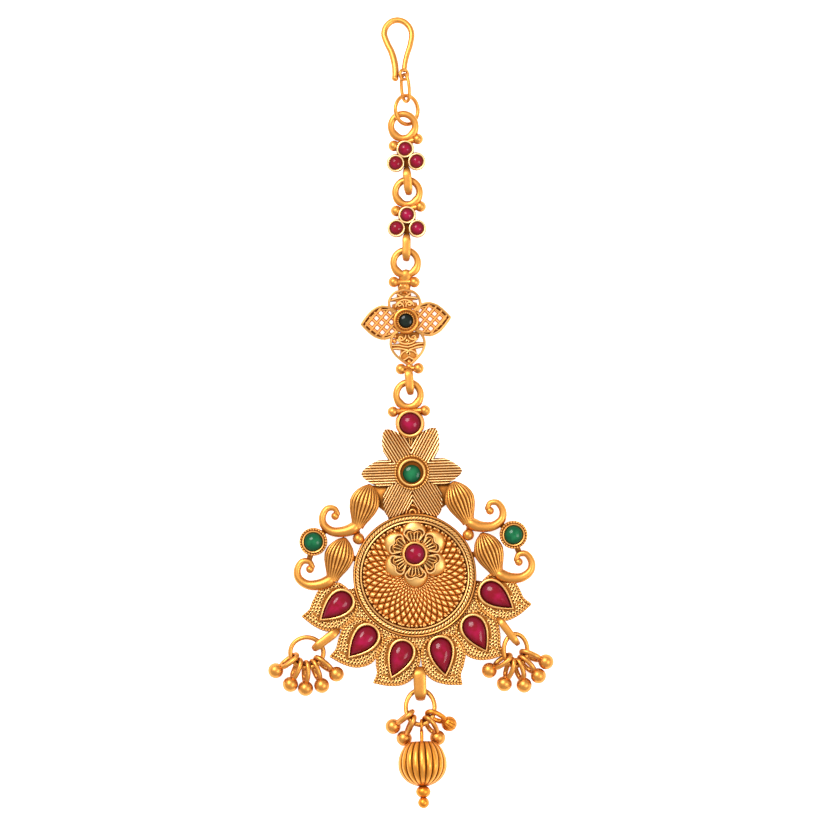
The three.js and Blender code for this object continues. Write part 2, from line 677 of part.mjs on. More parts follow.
function piercedLink() {
  const { ring, neck, footBall, upperBalls, lowerBalls, bailX, bailStart, bailLength } = PIERCED;
  const { plateTop, rim, rimTop } = PIERCED;
  const { pointed, rounded, sideHalf, topHalf, footHalf, mesh, hole, sideHoles, topGaps, footGaps } = PIERCED;
  const lattice = sideHoles.map(([across, along]) => [across * mesh, along * mesh, hole]);
  const arms = [
    { outline: pointed, half: sideHalf, turn: 0, gaps: lattice },
    { outline: rounded, half: topHalf, turn: 90, gaps: topGaps },
    { outline: pointed, half: sideHalf, turn: 180, gaps: lattice },
    { outline: pointed, half: footHalf, turn: 270, gaps: footGaps },
  ];
  const parts = arms.flatMap(({ outline, half, turn }) => {
    const body = plate(petalOutline(outline, half), LINK_BACK, rimTop);
    const sunk = plate(petalOutline(outline, half, rim), plateTop, rimTop + 1);
    const cut = solidOf(body).subtract(solidOf(sunk)).getMesh();
    const geometry = new THREE.BufferGeometry();
    geometry.setAttribute('position', new THREE.BufferAttribute(new Float32Array(cut.vertProperties), 3));
    geometry.setIndex(new THREE.BufferAttribute(new Uint32Array(cut.triVerts), 1));
    return moved([geometry], 0, 0, turn);
  });
  parts.push(
    headRing(...ring), rod([neck[0][0], neck[0][1], 1.2], [neck[1][0], neck[1][1], CHAIN_LEVEL], 0.6),
    ...crossbar(...upperBalls), ...crossbar(...lowerBalls),
    bail({ x: bailX, y: bailStart, heading: 270, length: bailLength, width: BAIL.width, strap: BAIL.strap }),
    ball(0.6, ...footBall, 1.2, SOLDER_BALL_SIDES), collet(DARK_SETTING, 0, 0),
  );
  const cutters = arms.flatMap(({ turn, gaps }) => gaps.flatMap(([x, y, radius]) => {
    const pin = new THREE.CylinderGeometry(radius, radius, 4, 4).rotateX(Math.PI / 2);
    return moved([pin.translate(x, y, CHAIN_LEVEL)], 0, 0, turn);
  }));
  const { bore, seat, rim: top } = DARK_SETTING;
  const dish = [[0, seat], [bore, seat], [bore, 1.9], [bore + 0.55, top + 0.4], [0, top + 0.4]];
  cutters.push(turned(dish, COLLET_SIDES));
  return fuse(parts, cutters);
}

function hairHook() {
  const eyeLevel = CHAIN_LEVEL + HOOK_END_RISE;
  const rise = (y) => eyeLevel + HOOK_SLOPE * y;
  const line = HOOK_LINE.map(([x, y]) => new THREE.Vector3(x, y, rise(y)));
  const path = new THREE.CatmullRomCurve3(line, false, 'centripetal');
  const section = new THREE.Shape();
  section.absarc(0, 0, HOOK_WIRE, 0, 2 * Math.PI);
  const options = {
    steps: HOOK_STEPS,
    extrudePath: path,
    curveSegments: WIRE_SIDES / 2,
    bevelEnabled: false,
  };
  const eye = new THREE.TorusGeometry(HOOK_EYE.radius, HOOK_EYE.wire, THIN_WIRE_SIDES, 10);
  eye.rotateY(rad(90 + HOOK_LINK.roll)).translate(0, 0, eyeLevel);
  const [tipX, tipY] = HOOK_LINE[0];
  const bulb = ball(0.5, tipX, tipY, rise(tipY), SOLDER_BALL_SIDES);
  return fuse([new THREE.ExtrudeGeometry(section, options), bulb, eye]);
}

// A ball with a wire loop: the ball round the origin, and the loop on edge along +Y.
function ballDrop() {
  const { out, halfLength, halfHeight, power, wire, steps } = DROP_LOOP;
  const line = new Oval(halfLength, halfHeight, power);
  const loop = new THREE.TubeGeometry(line, steps, wire, THIN_WIRE_SIDES, true);
  const place = new THREE.Matrix4().makeBasis(
    new THREE.Vector3(0, 1, 0), new THREE.Vector3(0, 0, 1), new THREE.Vector3(1, 0, 0),
  );
  return fuse([loop.applyMatrix4(place).translate(0, out, 0), ball(BALL, 0, 0, 0, DROP_SIDES)]);
}

function flutedBead() {
  const { radius, halfLength, flutes, groove, pinWire } = MAIN_DROP;
  const sections = [-1, -0.72, 0, 0.72, 1];
  const rings = sections.map((share) => {
    const girth = radius * Math.sqrt(1 - 0.86 * share * share);
    return Array.from({ length: 2 * flutes }, (_, i) => {
      const angle = (Math.PI * i) / flutes;
      const reach = girth * (i % 2 ? 1 - groove : 1);
      return new THREE.Vector3(reach * Math.cos(angle), share * halfLength, reach * Math.sin(angle));
    });
  });
  const bore = new THREE.CylinderGeometry(pinWire + PIN_GAP, pinWire + PIN_GAP, 4 * radius, 8);
  return fuse([loft(rings)], [bore]);
}

function spacerBead() {
  const { spacer, pinWire } = MAIN_DROP;
  const body = new THREE.SphereGeometry(1, BEAD_SIDES, 6);
  body.scale(spacer.radius, spacer.halfLength, spacer.radius);
  const bore = new THREE.CylinderGeometry(pinWire + PIN_GAP, pinWire + PIN_GAP, 4, 8);
  return fuse([body], [bore]);
}

// The pin along -Y from its eye, which stands on edge round the jump ring's wire.
function headPin(eyeOut) {
  const { pinWire, eye, head } = MAIN_DROP;
  const stem = rod([0, eyeOut - eye.radius, 0], [0, -head.out, 0], pinWire, 8);
  const ring = new THREE.TorusGeometry(eye.radius, eye.wire, THIN_WIRE_SIDES, 10).rotateY(Math.PI / 2);
  return fuse([stem, ring.translate(0, eyeOut, 0), ball(head.radius, 0, -head.out, 0, DROP_SIDES)]);
}

// Laying the pieces out

const laid = new THREE.Group();

function piece(name, geometry, material, parent = laid) {
  const mesh = new THREE.Mesh(geometry, material);
  mesh.name = name;
  parent.add(mesh);
  return mesh;
}

// A group for one link, whose head may stand higher than its foot.
function linkGroup({ x, y, turn, rise = 0 }) {
  const group = new THREE.Group();
  group.position.set(x, y, rise);
  group.rotation.set(Math.asin(rise / TREFOIL_LENGTH), 0, rad(turn), 'ZYX');
  laid.add(group);
  return group;
}

function addHook() {
  piece('hair_hook', hairHook(), gold).position.set(HOOK_EYE.x, HOOK_EYE.y, 0);
  addRing('hook_link', HOOK_LINK);
  addRing('chain_jump_ring', CHAIN_JUMP_RING);
}

function addRing(name, ring) {
  const mesh = piece(name, ovalRing(ring), gold);
  mesh.position.set(ring.x, ring.y, ring.level);
  mesh.rotation.set(rad(ring.pitch ?? 0), rad(ring.roll ?? 0), rad(ring.turn ?? 0), 'ZYX');
  mesh.updateMatrix();
  return mesh;
}

function addTrefoilLinks() {
  TREFOIL_LINKS.forEach((place) => {
    const group = linkGroup(place);
    piece(`trefoil_link_${place.name}`, trefoilLink(), gold, group);
    ['top', 'left', 'right'].forEach((side, i) => {
      const [x, y] = TREFOIL.stones[i];
      piece(`trefoil_ruby_${place.name}_${side}`, cabochon(SMALL_SETTING), ruby, group).position.set(x, y, 0);
    });
  });
}

function addPiercedLink() {
  const group = linkGroup(PIERCED_LINK);
  piece('pierced_link', piercedLink(), gold, group);
  piece('pierced_link_stone', cabochon(DARK_SETTING), darkStone, group);
}

function addPendant() {
  const group = linkGroup({ x: 0, y: 0, turn: PENDANT_TURN });
  piece('pendant_frame', pendantFrame(), gold, group);
  piece('top_ruby', cabochon(TOP_SETTING), ruby, group).position.set(TOP_SETTING.x, TOP_SETTING.y, 0);
  piece('star_emerald', cabochon(STAR_SETTING, STAR_STONE), emerald, group).position.set(STAR.x, STAR.y, 0);
  piece('flower_ruby', cabochon(FLOWER_SETTING), ruby, group).position.set(FLOWER.x, FLOWER.y, 0);
  [['left', -1], ['right', 1]].forEach(([name, side]) => {
    const stone = piece(`side_emerald_${name}`, cabochon(SIDE_SETTING), emerald, group);
    stone.position.set(side * SIDE_SETTING.x, SIDE_SETTING.y, 0);
  });
  LEAVES.forEach((place, i) => {
    piece(`pear_ruby_${i + 1}`, onLeaf([pearStone()], { ...place, side: 1 })[0], ruby, group);
  });
}

// Turns a drop so that its loop stands across the ring's wire and its ball lies on the surface.
function hangOn(mesh, ringMesh, { halfWidth, halfLength }, { at, heading, reach }) {
  const angle = rad(at);
  const wire = new THREE.Vector3(halfWidth * Math.cos(angle), halfLength * Math.sin(angle), 0);
  const tangent = new THREE.Vector3(-halfWidth * Math.sin(angle), halfLength * Math.cos(angle), 0);
  wire.applyMatrix4(ringMesh.matrix);
  tangent.transformDirection(ringMesh.matrix);
  const drop = BALL + REST_PLAY - wire.z;
  const run = Math.sqrt(reach * reach - drop * drop);
  const step = new THREE.Vector3(run * Math.cos(rad(heading)), run * Math.sin(rad(heading)), drop);
  const centre = wire.clone().add(step);
  const up = wire.clone().sub(centre).normalize();
  const normal = tangent.addScaledVector(up, -tangent.dot(up)).normalize();
  const side = new THREE.Vector3().crossVectors(normal, up);
  mesh.quaternion.setFromRotationMatrix(new THREE.Matrix4().makeBasis(normal, up, side));
  mesh.position.copy(centre);
}

function addClusters() {
  CLUSTERS.forEach(({ name, ring, drops }) => {
    const ringMesh = addRing(`${name}_jump_ring`, ring);
    drops.forEach((drop, i) => {
      hangOn(piece(`${name}_ball_drop_${i + 1}`, ballDrop(), gold), ringMesh, ring, drop);
    });
  });
}

function addMainDrop() {
  const { x, y, radius, eye, spacer } = MAIN_DROP;
  const centre = new THREE.Vector3(x, y, radius);
  const line = new THREE.Vector3(eye.x, eye.y, eye.z).sub(centre);
  const group = new THREE.Group();
  group.position.copy(centre);
  group.quaternion.setFromUnitVectors(new THREE.Vector3(0, 1, 0), line.clone().normalize());
  laid.add(group);
  piece('fluted_bead', flutedBead(), gold, group);
  piece('spacer_bead', spacerBead(), gold, group).position.set(0, -spacer.out, 0);
  piece('head_pin', headPin(line.length()), gold, group);
}

addHook();
addTrefoilLinks();
addPiercedLink();
addPendant();
addClusters();
addMainDrop();

// The origin is on the surface under the middle of the laid-out jewel.
const tikka = new THREE.Group();
tikka.add(laid);
tikka.updateMatrixWorld(true);
const bounds = new THREE.Box3().setFromObject(laid, true);
const middle = bounds.getCenter(new THREE.Vector3());
laid.position.set(-middle.x, -middle.y, -bounds.min.z);

export default tikka;
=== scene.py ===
"""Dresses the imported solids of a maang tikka, a gilt forehead pendant on a chain with a hair hook."""
import math

import bpy
import numpy as np
from bpy.props import FloatProperty, FloatVectorProperty, IntProperty, PointerProperty
from mathutils import Matrix, Vector


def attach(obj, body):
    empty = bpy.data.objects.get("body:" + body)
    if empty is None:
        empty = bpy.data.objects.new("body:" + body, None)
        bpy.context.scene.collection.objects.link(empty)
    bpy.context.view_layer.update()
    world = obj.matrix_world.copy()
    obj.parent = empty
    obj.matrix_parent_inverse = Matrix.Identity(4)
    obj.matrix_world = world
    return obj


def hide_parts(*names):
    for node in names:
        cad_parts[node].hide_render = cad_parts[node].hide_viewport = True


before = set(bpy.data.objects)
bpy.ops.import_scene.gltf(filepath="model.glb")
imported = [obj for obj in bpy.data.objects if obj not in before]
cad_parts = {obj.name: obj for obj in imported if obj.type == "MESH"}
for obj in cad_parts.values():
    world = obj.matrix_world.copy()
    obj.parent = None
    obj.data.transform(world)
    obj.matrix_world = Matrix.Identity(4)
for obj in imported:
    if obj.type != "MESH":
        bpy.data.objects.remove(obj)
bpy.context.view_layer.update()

bl_info = {
    "name": "Maang Tikka",
    "version": (1, 0, 0),
    "blender": (4, 5, 0),
    "location": "View3D > Sidebar > Tikka",
    "description": "Builds an antique gilt maang tikka with ruby and emerald glass stones",
    "category": "Add Mesh",
}

MM = 0.001
GOLD_SLOT = "gilt_metal"
RUBY_SLOT = "ruby_glass"
EMERALD_SLOT = "emerald_glass"
DARK_SLOT = "dark_glass"

# Levels over the surface that the jewel lies on, in millimetres as all the shapes below are
CHAIN_LEVEL = 1.5
HOOK_END_RISE = 0.68
LINK_BACK = 0.3

# Where the groups lie, from the middle of the pendant's disc
DISC_MIDDLE = (0.6185, -26.9698, 0.0)
PENDANT_TURN = 2
TREFOIL_LENGTH = 11.4
TREFOIL_PLACES = {"upper": (-1.91, 74.02, 4.7, HOOK_END_RISE), "lower": (-1.2, 63.08, -1, 0)}
PIERCED_PLACE = (-1.45, 41.91, 4.5)
HOOK_EYE = (-1.77, 82.42)

# The point of the floor that the camera looks straight down on, in metres
CAMERA_AT = (0.000503, -0.000405)

# Colours of metal rubbed bare on proud ridges, which also stand as a painted highlight, of the near-black
# painted shade in the deepest grooves, and of the painted glow inside each kind of stone
BURNISHED_HIGHLIGHT = (1.0, 0.8, 0.46)
DEPTH_SHADE_BLACK = (0.03, 0.012, 0.004)
COPPER_RUBBED_HIGHLIGHT = (0.9, 0.44, 0.1)
RUBY_GLOW = (0.36, 0.004, 0.05)
EMERALD_GLOW = (0.015, 0.18, 0.065)
DARK_GLOW = (0.014, 0.026, 0.018)

# Sizes that several shapes share
HEAD_RING_RADIUS = 2.0
LINK_BALL = 0.9
STRAP_HEIGHT = 2.8
REST_PLAY = 0.02
BEAD_BORE = 0.42
LEAF_REACH = 14.0
PEAR_POINTS = 72
PETAL_POINTS = 48

# Just short of a right angle, from where on a dome's radius counts as nothing
QUARTER = 1.57


# Sizes and colours that a user would change

class TikkaWires(bpy.types.PropertyGroup):
    hook_wire: FloatProperty(
        name="Hook wire", description="Radius of the hair hook's wire",
        default=0.00054, min=0.0002, max=0.0006, unit="LENGTH")
    eye_wire: FloatProperty(
        name="Hook eye wire", description="Radius of the wire of the hook's eye",
        default=0.00027, min=0.0001, max=0.0003, unit="LENGTH")
    head_ring_wire: FloatProperty(
        name="Head ring", description="Radius of the cast rings at the heads of the links",
        default=0.00057, min=0.0003, max=0.0006, unit="LENGTH")
    drop_ball: FloatProperty(
        name="Drop ball", description="Radius of the balls that hang under the pendant",
        default=0.00127, min=0.0008, max=0.0013, unit="LENGTH")
    drop_wire: FloatProperty(
        name="Drop wire", description="Radius of the wire loops that hold the balls",
        default=0.00042, min=0.0001, max=0.0005, unit="LENGTH")


class TikkaRelief(bpy.types.PropertyGroup):
    petal_ridge: FloatProperty(
        name="Star ridge pitch", description="Distance between the ridges on the star's petals",
        default=0.00044, min=0.0002, max=0.001, unit="LENGTH")
    ridge_depth: FloatProperty(
        name="Star ridge depth", description="Depth of the grooves between the star's ridges",
        default=0.00019, min=0.0, max=0.0003, unit="LENGTH")
    scale_depth: FloatProperty(
        name="Scale depth", description="Depth of the grooves between the disc's scales",
        default=0.00042, min=0.0, max=0.0006, unit="LENGTH")
    scales_around: IntProperty(
        name="Scales around", description="How many scales stand round the disc's flower",
        default=40, min=20, max=90)
    bud_ribs: IntProperty(
        name="Bud ribs", description="How many ribs run down each bud", default=11, min=3, max=15)
    circlet_pitch: FloatProperty(
        name="Circlet pitch", description="Distance between the tiny circles on the mango leaves",
        default=0.00057, min=0.0003, max=0.001, unit="LENGTH")
    flutes: IntProperty(
        name="Flutes", description="How many flutes the main bead has", default=20, min=8, max=30)


class TikkaFinishes(bpy.types.PropertyGroup):
    gold_light: FloatVectorProperty(
        name="Gold", description="Colour of the gold plating", subtype="COLOR",
        size=3, min=0, max=1, default=(0.68, 0.29, 0.06))
    # Painted shade: this colour is mixed in where the metal faces sideways or lies hidden, and a little in
    # grooves and in random cloudy patches.
    gold_warm_and_shade: FloatVectorProperty(
        name="Warm gold", description="Colour of the gold where it is less rubbed", subtype="COLOR",
        size=3, min=0, max=1, default=(0.58, 0.195, 0.022))
    copper_gold: FloatVectorProperty(
        name="Copper gold", description="Colour of the redder gold of the main drop", subtype="COLOR",
        size=3, min=0, max=1, default=(0.72, 0.255, 0.03))
    # Also a painted highlight: this colour is laid on rubbed ridges to stand for their shine as well as their
    # wear.
    gold_rubbed_highlight: FloatVectorProperty(
        name="Rubbed gold", description="Colour of the ridges that are rubbed bare", subtype="COLOR",
        size=3, min=0, max=1, default=(0.97, 0.60, 0.22))
    # Also painted shade: this colour darkens hidden and sideways-facing metal, besides filling the grooves as
    # antique wash.
    patina_and_shade: FloatVectorProperty(
        name="Patina", description="Colour of the antique wash in the grooves", subtype="COLOR",
        size=3, min=0, max=1, default=(0.17, 0.044, 0.002))
    gold_roughness: FloatProperty(
        name="Gold roughness", description="How matt the rubbed gold is", subtype="FACTOR",
        default=0.36, min=0, max=1)
    ruby: FloatVectorProperty(
        name="Ruby", description="Colour of the ruby glass", subtype="COLOR",
        size=3, min=0, max=1, default=(0.21, 0.003, 0.013))
    emerald: FloatVectorProperty(
        name="Emerald", description="Colour of the emerald glass", subtype="COLOR",
        size=3, min=0, max=1, default=(0.003, 0.085, 0.03))
    dark: FloatVectorProperty(
        name="Dark green", description="Colour of the pierced link's stone", subtype="COLOR",
        size=3, min=0, max=1, default=(0.006, 0.009, 0.007))


class TikkaStudio(bpy.types.PropertyGroup):
    floor: FloatVectorProperty(
        name="Floor", description="Colour of the floor", subtype="COLOR",
        size=3, min=0, max=1, default=(0.93, 0.93, 0.93))
    sky: FloatProperty(
        name="Sky", description="Strength of the even light all round", default=0.72, min=0, max=5)
    key: FloatProperty(
        name="Key light", description="Power of the large soft light", unit="POWER", default=5.0, min=0)
    floor_glow: FloatProperty(
        name="Floor glow", description="Strength of the light that shines through the floor from below",
        default=0.8, min=0, max=2)
    camera_height: FloatProperty(
        name="Camera height", description="Height of the camera over the floor",
        default=0.8, min=0.3, max=3, unit="LENGTH")
    view_width: FloatProperty(
        name="View width", description="Width of the floor that the camera sees",
        default=0.13662, min=0.05, max=1, unit="LENGTH")


# Shader maths

class Wire:
    """One socket of a finish, which sums and products read as plain maths."""

    def __init__(self, sheet, socket):
        self.sheet = sheet
        self.socket = socket

    def maths(self, operation, *values):
        return self.sheet.node("ShaderNodeMath", {"operation": operation}, dict(enumerate(values)))

    def __add__(self, other):
        return self.maths("ADD", self, other)

    def __sub__(self, other):
        return self.maths("SUBTRACT", self, other)

    def __rsub__(self, other):
        return self.maths("SUBTRACT", other, self)

    def __mul__(self, other):
        return self.maths("MULTIPLY", self, other)

    __radd__ = __add__
    __rmul__ = __mul__

    def held(self):
        """The value kept between 0 and 1."""
        return self.sheet.node("ShaderNodeClamp", {}, {0: self})


class Finish:
    """The node sheet of one material."""

    def __init__(self, name):
        self.material = bpy.data.materials.new(name)
        self.material.use_nodes = True
        self.tree = self.material.node_tree
        self.surface = self.tree.nodes["Principled BSDF"]

    def node(self, kind, settings, sockets, output=0):
        made = self.tree.nodes.new(kind)
        for key, value in settings.items():
            setattr(made, key, value)
        for key, value in sockets.items():
            self.feed(made.inputs[key], value)
        return Wire(self, made.outputs[output])

    def feed(self, socket, value):
        if isinstance(value, Wire):
            self.tree.links.new(value.socket, socket)
        elif socket.type == "RGBA" and len(value) == 3:
            socket.default_value = (*value, 1)
        else:
            socket.default_value = value

    def set(self, **sockets):
        for key, value in sockets.items():
            self.feed(self.surface.inputs[key.replace("_", " ")], value)
        return self.material

    def place(self):
        return self.node("ShaderNodeTexCoord", {}, {}, output="Object")

    def noise(self, scale, detail=2.0, rough=0.5):
        return self.node("ShaderNodeTexNoise", {"noise_dimensions": "3D"},
                         {"Vector": self.place(), "Scale": scale, "Detail": detail, "Roughness": rough})

    def spread(self, value, low, high, out_low=0.0, out_high=1.0):
        return self.node("ShaderNodeMapRange", {"clamp": True},
                         {0: value, 1: low, 2: high, 3: out_low, 4: out_high})

    def mix(self, factor, first, second):
        return self.node("ShaderNodeMix", {"data_type": "RGBA"}, {0: factor, 6: first, 7: second}, output=2)

    def mask(self, name):
        return self.node("ShaderNodeAttribute", {"attribute_name": name}, {}, output="Fac")

    def bump(self, height, strength, distance):
        return self.node("ShaderNodeBump", {}, {"Height": height, "Strength": strength, "Distance": distance})


finishes = {}


def antique_gold(name="antique_gold", light=None, rubbed=None, wash_and_shade_share=1.0):
    """Satin gilt brass, rubbed bright on what stands proud, with a painted highlight laid there too; painted
    shade makes it warmer and darker on its sideways-facing flanks and where ambient occlusion finds it
    hidden; the grooves hold a dark antique wash.

    The groove mask is -2 where the metal is burnished and -1 where it is rubbed, both also a painted
    highlight, 0 where it is plain,
    1 in a groove and 2 in the darkest depth, which is painted shade.
    """
    if name in finishes:
        return finishes[name]
    colours = bpy.context.scene.tikka_finishes
    sheet = Finish(name)
    # Painted shade: ambient occlusion darkens and warms the colour where the metal is hidden by nearby parts,
    # in corners and near the floor.
    shade = sheet.node("ShaderNodeAmbientOcclusion", {"samples": 8}, {"Distance": 0.6 * MM}, output="AO")
    occlusion_shade = 1 - shade
    groove = sheet.mask("groove")
    cloud = sheet.noise(420, 3.0, 0.6)
    speck = sheet.noise(4200, 2.0, 0.6)
    # Painted shade: metal that faces sideways turns warmer and darker than metal that faces up.
    normal = sheet.node("ShaderNodeNewGeometry", {}, {}, output="Normal")
    facing = sheet.node("ShaderNodeSeparateXYZ", {}, {0: normal}, output="Z")
    side_shade = sheet.spread(facing, 0.0, 0.7, 1.0, 0.0)
    side_shade_edge = sheet.spread(facing, 0.05, 0.5, 0.4, 0.0)
    # Dark antique wash in the grooves, together with painted shade from occlusion and from sideways facing,
    # and random cloudy tone.
    wash_and_shade = (groove + occlusion_shade * 0.4 + side_shade_edge + (cloud - 0.5) * 0.25) * wash_and_shade_share
    dark = sheet.spread(wash_and_shade, 0.22, 0.95)
    # Warmer gold from painted shade on sideways-facing and hidden metal, a little from the grooves, and
    # random cloudy tone.
    warmth_and_shade = sheet.spread(side_shade * 0.8 + occlusion_shade * 0.5 + groove * 0.4 + (cloud - 0.5) * 0.8, 0.05, 1.0)
    gold = sheet.mix(warmth_and_shade, tuple(light or colours.gold_light), tuple(colours.gold_warm_and_shade))
    # Rubbed bare ridges and burnished crests, made lighter as a painted highlight too.
    gold = sheet.mix(sheet.spread(groove, -1.0, 0.0, 1.0, 0.0), gold, tuple(rubbed or colours.gold_rubbed_highlight))
    gold = sheet.mix(sheet.spread(groove, -2.0, -1.0, 1.0, 0.0), gold, BURNISHED_HIGHLIGHT)
    shades = sheet.mix(dark, gold, tuple(colours.patina_and_shade))
    # Painted shade: the deepest grooves turn near black.
    shades = sheet.mix(sheet.spread(groove, 1.0, 2.0), shades, DEPTH_SHADE_BLACK)
    finishes[name] = sheet.set(
        Base_Color=shades, Metallic=sheet.spread(dark, 0, 1, 1.0, 0.7), Specular_IOR_Level=0.2,
        Roughness=(colours.gold_roughness + speck * 0.12 + dark * 0.25 + (cloud - 0.5) * 0.12).held(),
        Normal=sheet.bump(speck * 0.5 + cloud, 0.2, 0.05 * MM))
    return finishes[name]


def copper_gold():
    """The redder gold of the main drop."""
    return antique_gold("copper_gold", bpy.context.scene.tikka_finishes.copper_gold, COPPER_RUBBED_HIGHLIGHT, 1.15)


def glass_stone(name, colour, glow):
    """Polished coloured glass with a foil back: darker round its girdle as painted shade, with a painted
    inner glow in faint cloudy patches.
    """
    if name in finishes:
        return finishes[name]
    sheet = Finish(name)
    edge = sheet.mask("groove")
    cloud = sheet.noise(620, 3.0, 0.6)
    # Painted shade: the girdle mask, broken up by the cloud, darkens the stone towards its edge.
    depth = sheet.spread(edge + (cloud - 0.5) * 0.9, 0.05, 1.0)
    deep = tuple(0.4 * part for part in colour)
    # Painted glow: the cloud mixes in a lighter colour, as if light shone inside the stone, under the painted
    # girdle shade.
    body = sheet.mix(depth, sheet.mix(sheet.spread(cloud, 0.42, 0.68), tuple(colour), glow), deep)
    finishes[name] = sheet.set(
        Base_Color=body, Roughness=sheet.spread(cloud, 0.3, 0.8, 0.14, 0.24),
        Specular_IOR_Level=0.1, Coat_Weight=0.18, Coat_Roughness=0.08, IOR=1.52,
        Normal=sheet.bump(cloud, 0.08, 0.05 * MM))
    return finishes[name]


def ruby_glass():
    return glass_stone("ruby_glass", bpy.context.scene.tikka_finishes.ruby, RUBY_GLOW)


# Places of the groups

def place(x=0.0, y=0.0, z=0.0, turn=0.0, tilt=0.0, roll=0.0):
    spin = Matrix.Rotation(math.radians(turn), 4, "Z")
    lean = Matrix.Rotation(math.radians(roll), 4, "Y") @ Matrix.Rotation(math.radians(tilt), 4, "X")
    return Matrix.Translation((x, y, z)) @ spin @ lean


LAID = place(*DISC_MIDDLE)
PENDANT = LAID @ place(turn=PENDANT_TURN)
ON_EDGE = Matrix(((0, 0, 1, 0), (1, 0, 0, 0), (0, 1, 0, 0), (0, 0, 0, 1)))


# Making skins

class Casting:
    """The skin of one piece, gathered from shapes in millimetres, with the groove mask of each point."""

    def __init__(self, at=None):
        self.at = at or LAID
        self.points = []
        self.faces = []
        self.grooves = []
        self.count = 0

    def add(self, shape, at=None):
        if isinstance(shape, list):
            for one in shape:
                self.add(one, at)
            return self
        points, faces, grooves = shape
        matrix = np.array(self.at @ at if at is not None else self.at)
        points = np.asarray(points, float) @ matrix[:3, :3].T + matrix[:3, 3]
        self.points.append(points)
        if np.linalg.det(matrix[:3, :3]) < 0:
            faces = [face[::-1] for face in faces]
        self.faces.extend([tuple(i + self.count for i in face) for face in faces])
        self.grooves.append(np.broadcast_to(np.asarray(grooves, float), (len(points),)))
        self.count += len(points)
        return self

    def lay(self, name, material, slot, nodes, crease=38):
        mesh = bpy.data.meshes.new(name)
        mesh.from_pydata((np.concatenate(self.points) * MM).tolist(), [], self.faces)
        mesh.attributes.new("groove", "FLOAT", "POINT").data.foreach_set(
            "value", np.concatenate(self.grooves).astype(np.float32))
        mesh.polygons.foreach_set("use_smooth", [True] * len(mesh.polygons))
        mesh.set_sharp_from_angle(angle=math.radians(crease))
        mesh.materials.append(material)
        mesh.validate()
        made = bpy.data.objects.new(name, mesh)
        bpy.context.scene.collection.objects.link(made)
        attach(made, "root")
        if nodes:
            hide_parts(*nodes)
        return made


def skin_of_rings(rings, grooves=0.0, closed=False, capped=True):
    """A skin over rings with equal numbers of points; one number or one per point says how deep they lie."""
    rings = np.asarray(rings, float)
    rows, around = rings.shape[:2]
    points = rings.reshape(-1, 3)
    grooves = np.broadcast_to(np.asarray(grooves, float), (rows, around)).reshape(-1).tolist()
    faces = []
    for i in range(rows if closed else rows - 1):
        low, high = i * around, ((i + 1) % rows) * around
        for j in range(around):
            k = (j + 1) % around
            faces.append((low + j, low + k, high + k, high + j))
    extra = []
    if capped and not closed:
        for end, ring in ((0, rings[0]), (1, rings[-1])):
            pole = len(points) + len(extra)
            extra.append(ring.mean(0))
            grooves.append(grooves[0] if end == 0 else grooves[rows * around - 1])
            base = 0 if end == 0 else (rows - 1) * around
            for j in range(around):
                k = (j + 1) % around
                faces.append((pole, base + k, base + j) if end == 0 else (pole, base + j, base + k))
    if extra:
        points = np.concatenate([points, np.array(extra)])
    return points, faces, grooves


def swept(path, girth, sides=12, closed=False, flat=1.0, power=1.0, groove=0.0):
    """Wire along a path. Girth is half its width across, and flat times that is half its height."""
    path = np.asarray(path, float)
    girth, flat, groove = (
        np.broadcast_to(np.asarray(one, float), (len(path),)) for one in (girth, flat, groove))
    if not closed:
        first, last = path[0] - path[1], path[-1] - path[-2]
        first, last = first / np.linalg.norm(first), last / np.linalg.norm(last)
        steps = np.radians([75, 50, 25])
        head = [path[0] + first * girth[0] * math.sin(a) for a in steps]
        tail = [path[-1] + last * girth[-1] * math.sin(a) for a in steps[::-1]]
        path = np.array([*head, *path, *tail])
        girth = np.array([*(girth[0] * np.cos(steps)), *girth, *(girth[-1] * np.cos(steps[::-1]))])
        flat, groove = (np.pad(one, 3, mode="edge") for one in (flat, groove))
    if closed:
        run = np.roll(path, -1, 0) - np.roll(path, 1, 0)
    else:
        run = np.gradient(path, axis=0)
    run /= np.linalg.norm(run, axis=1)[:, None]
    side = np.cross(run, (0.0, 0.0, 1.0))
    side /= np.linalg.norm(side, axis=1)[:, None]
    top = np.cross(side, run)
    angle = np.linspace(0, 2 * np.pi, sides, endpoint=False) + np.pi / sides
    across = np.sign(np.cos(angle)) * np.abs(np.cos(angle)) ** power
    height = np.sign(np.sin(angle)) * np.abs(np.sin(angle)) ** power
    rings = (path[:, None] + girth[:, None, None] * (
        across[None, :, None] * side[:, None] + flat[:, None, None] * height[None, :, None] * top[:, None]))
    return skin_of_rings(rings, groove[:, None], closed)


def lathe(profile, sides=32):
    """A profile of (radius, height) or (radius, height, groove) turned round the Z axis."""
    rows = [(*row, 0.0)[:3] for row in profile]
    angle = np.linspace(0, 2 * np.pi, sides, endpoint=False)
    spin = np.stack([np.cos(angle), np.sin(angle)], 1)
    points, faces, grooves, rings = [], [], [], []
    for radius, height, groove in rows:
        start = len(points)
        if radius <= 1e-6:
            points.append((0, 0, height))
            grooves.append(groove)
            rings.append([start] * sides)
        else:
            points.extend([(radius * c, radius * s, height) for c, s in spin])
            grooves.extend([groove] * sides)
            rings.append(list(range(start, start + sides)))
    for low, high in zip(rings, rings[1:]):
        for j in range(sides):
            k = (j + 1) % sides
            face = []
            for corner in (low[j], low[k], high[k], high[j]):
                if corner not in face:
                    face.append(corner)
            if len(face) > 2:
                faces.append(tuple(face))
    return np.array(points, float), faces, grooves


def ball(radius, x=0.0, y=0.0, z=0.0, sides=24, groove=0.0):
    steps = np.linspace(-np.pi / 2, np.pi / 2, sides // 2 + 1)
    profile = [(radius * max(math.cos(a), 0) if abs(a) < QUARTER else 0, radius * math.sin(a), groove)
               for a in steps]
    points, faces, grooves = lathe(profile, sides)
    return points + np.array([x, y, z]), faces, grooves


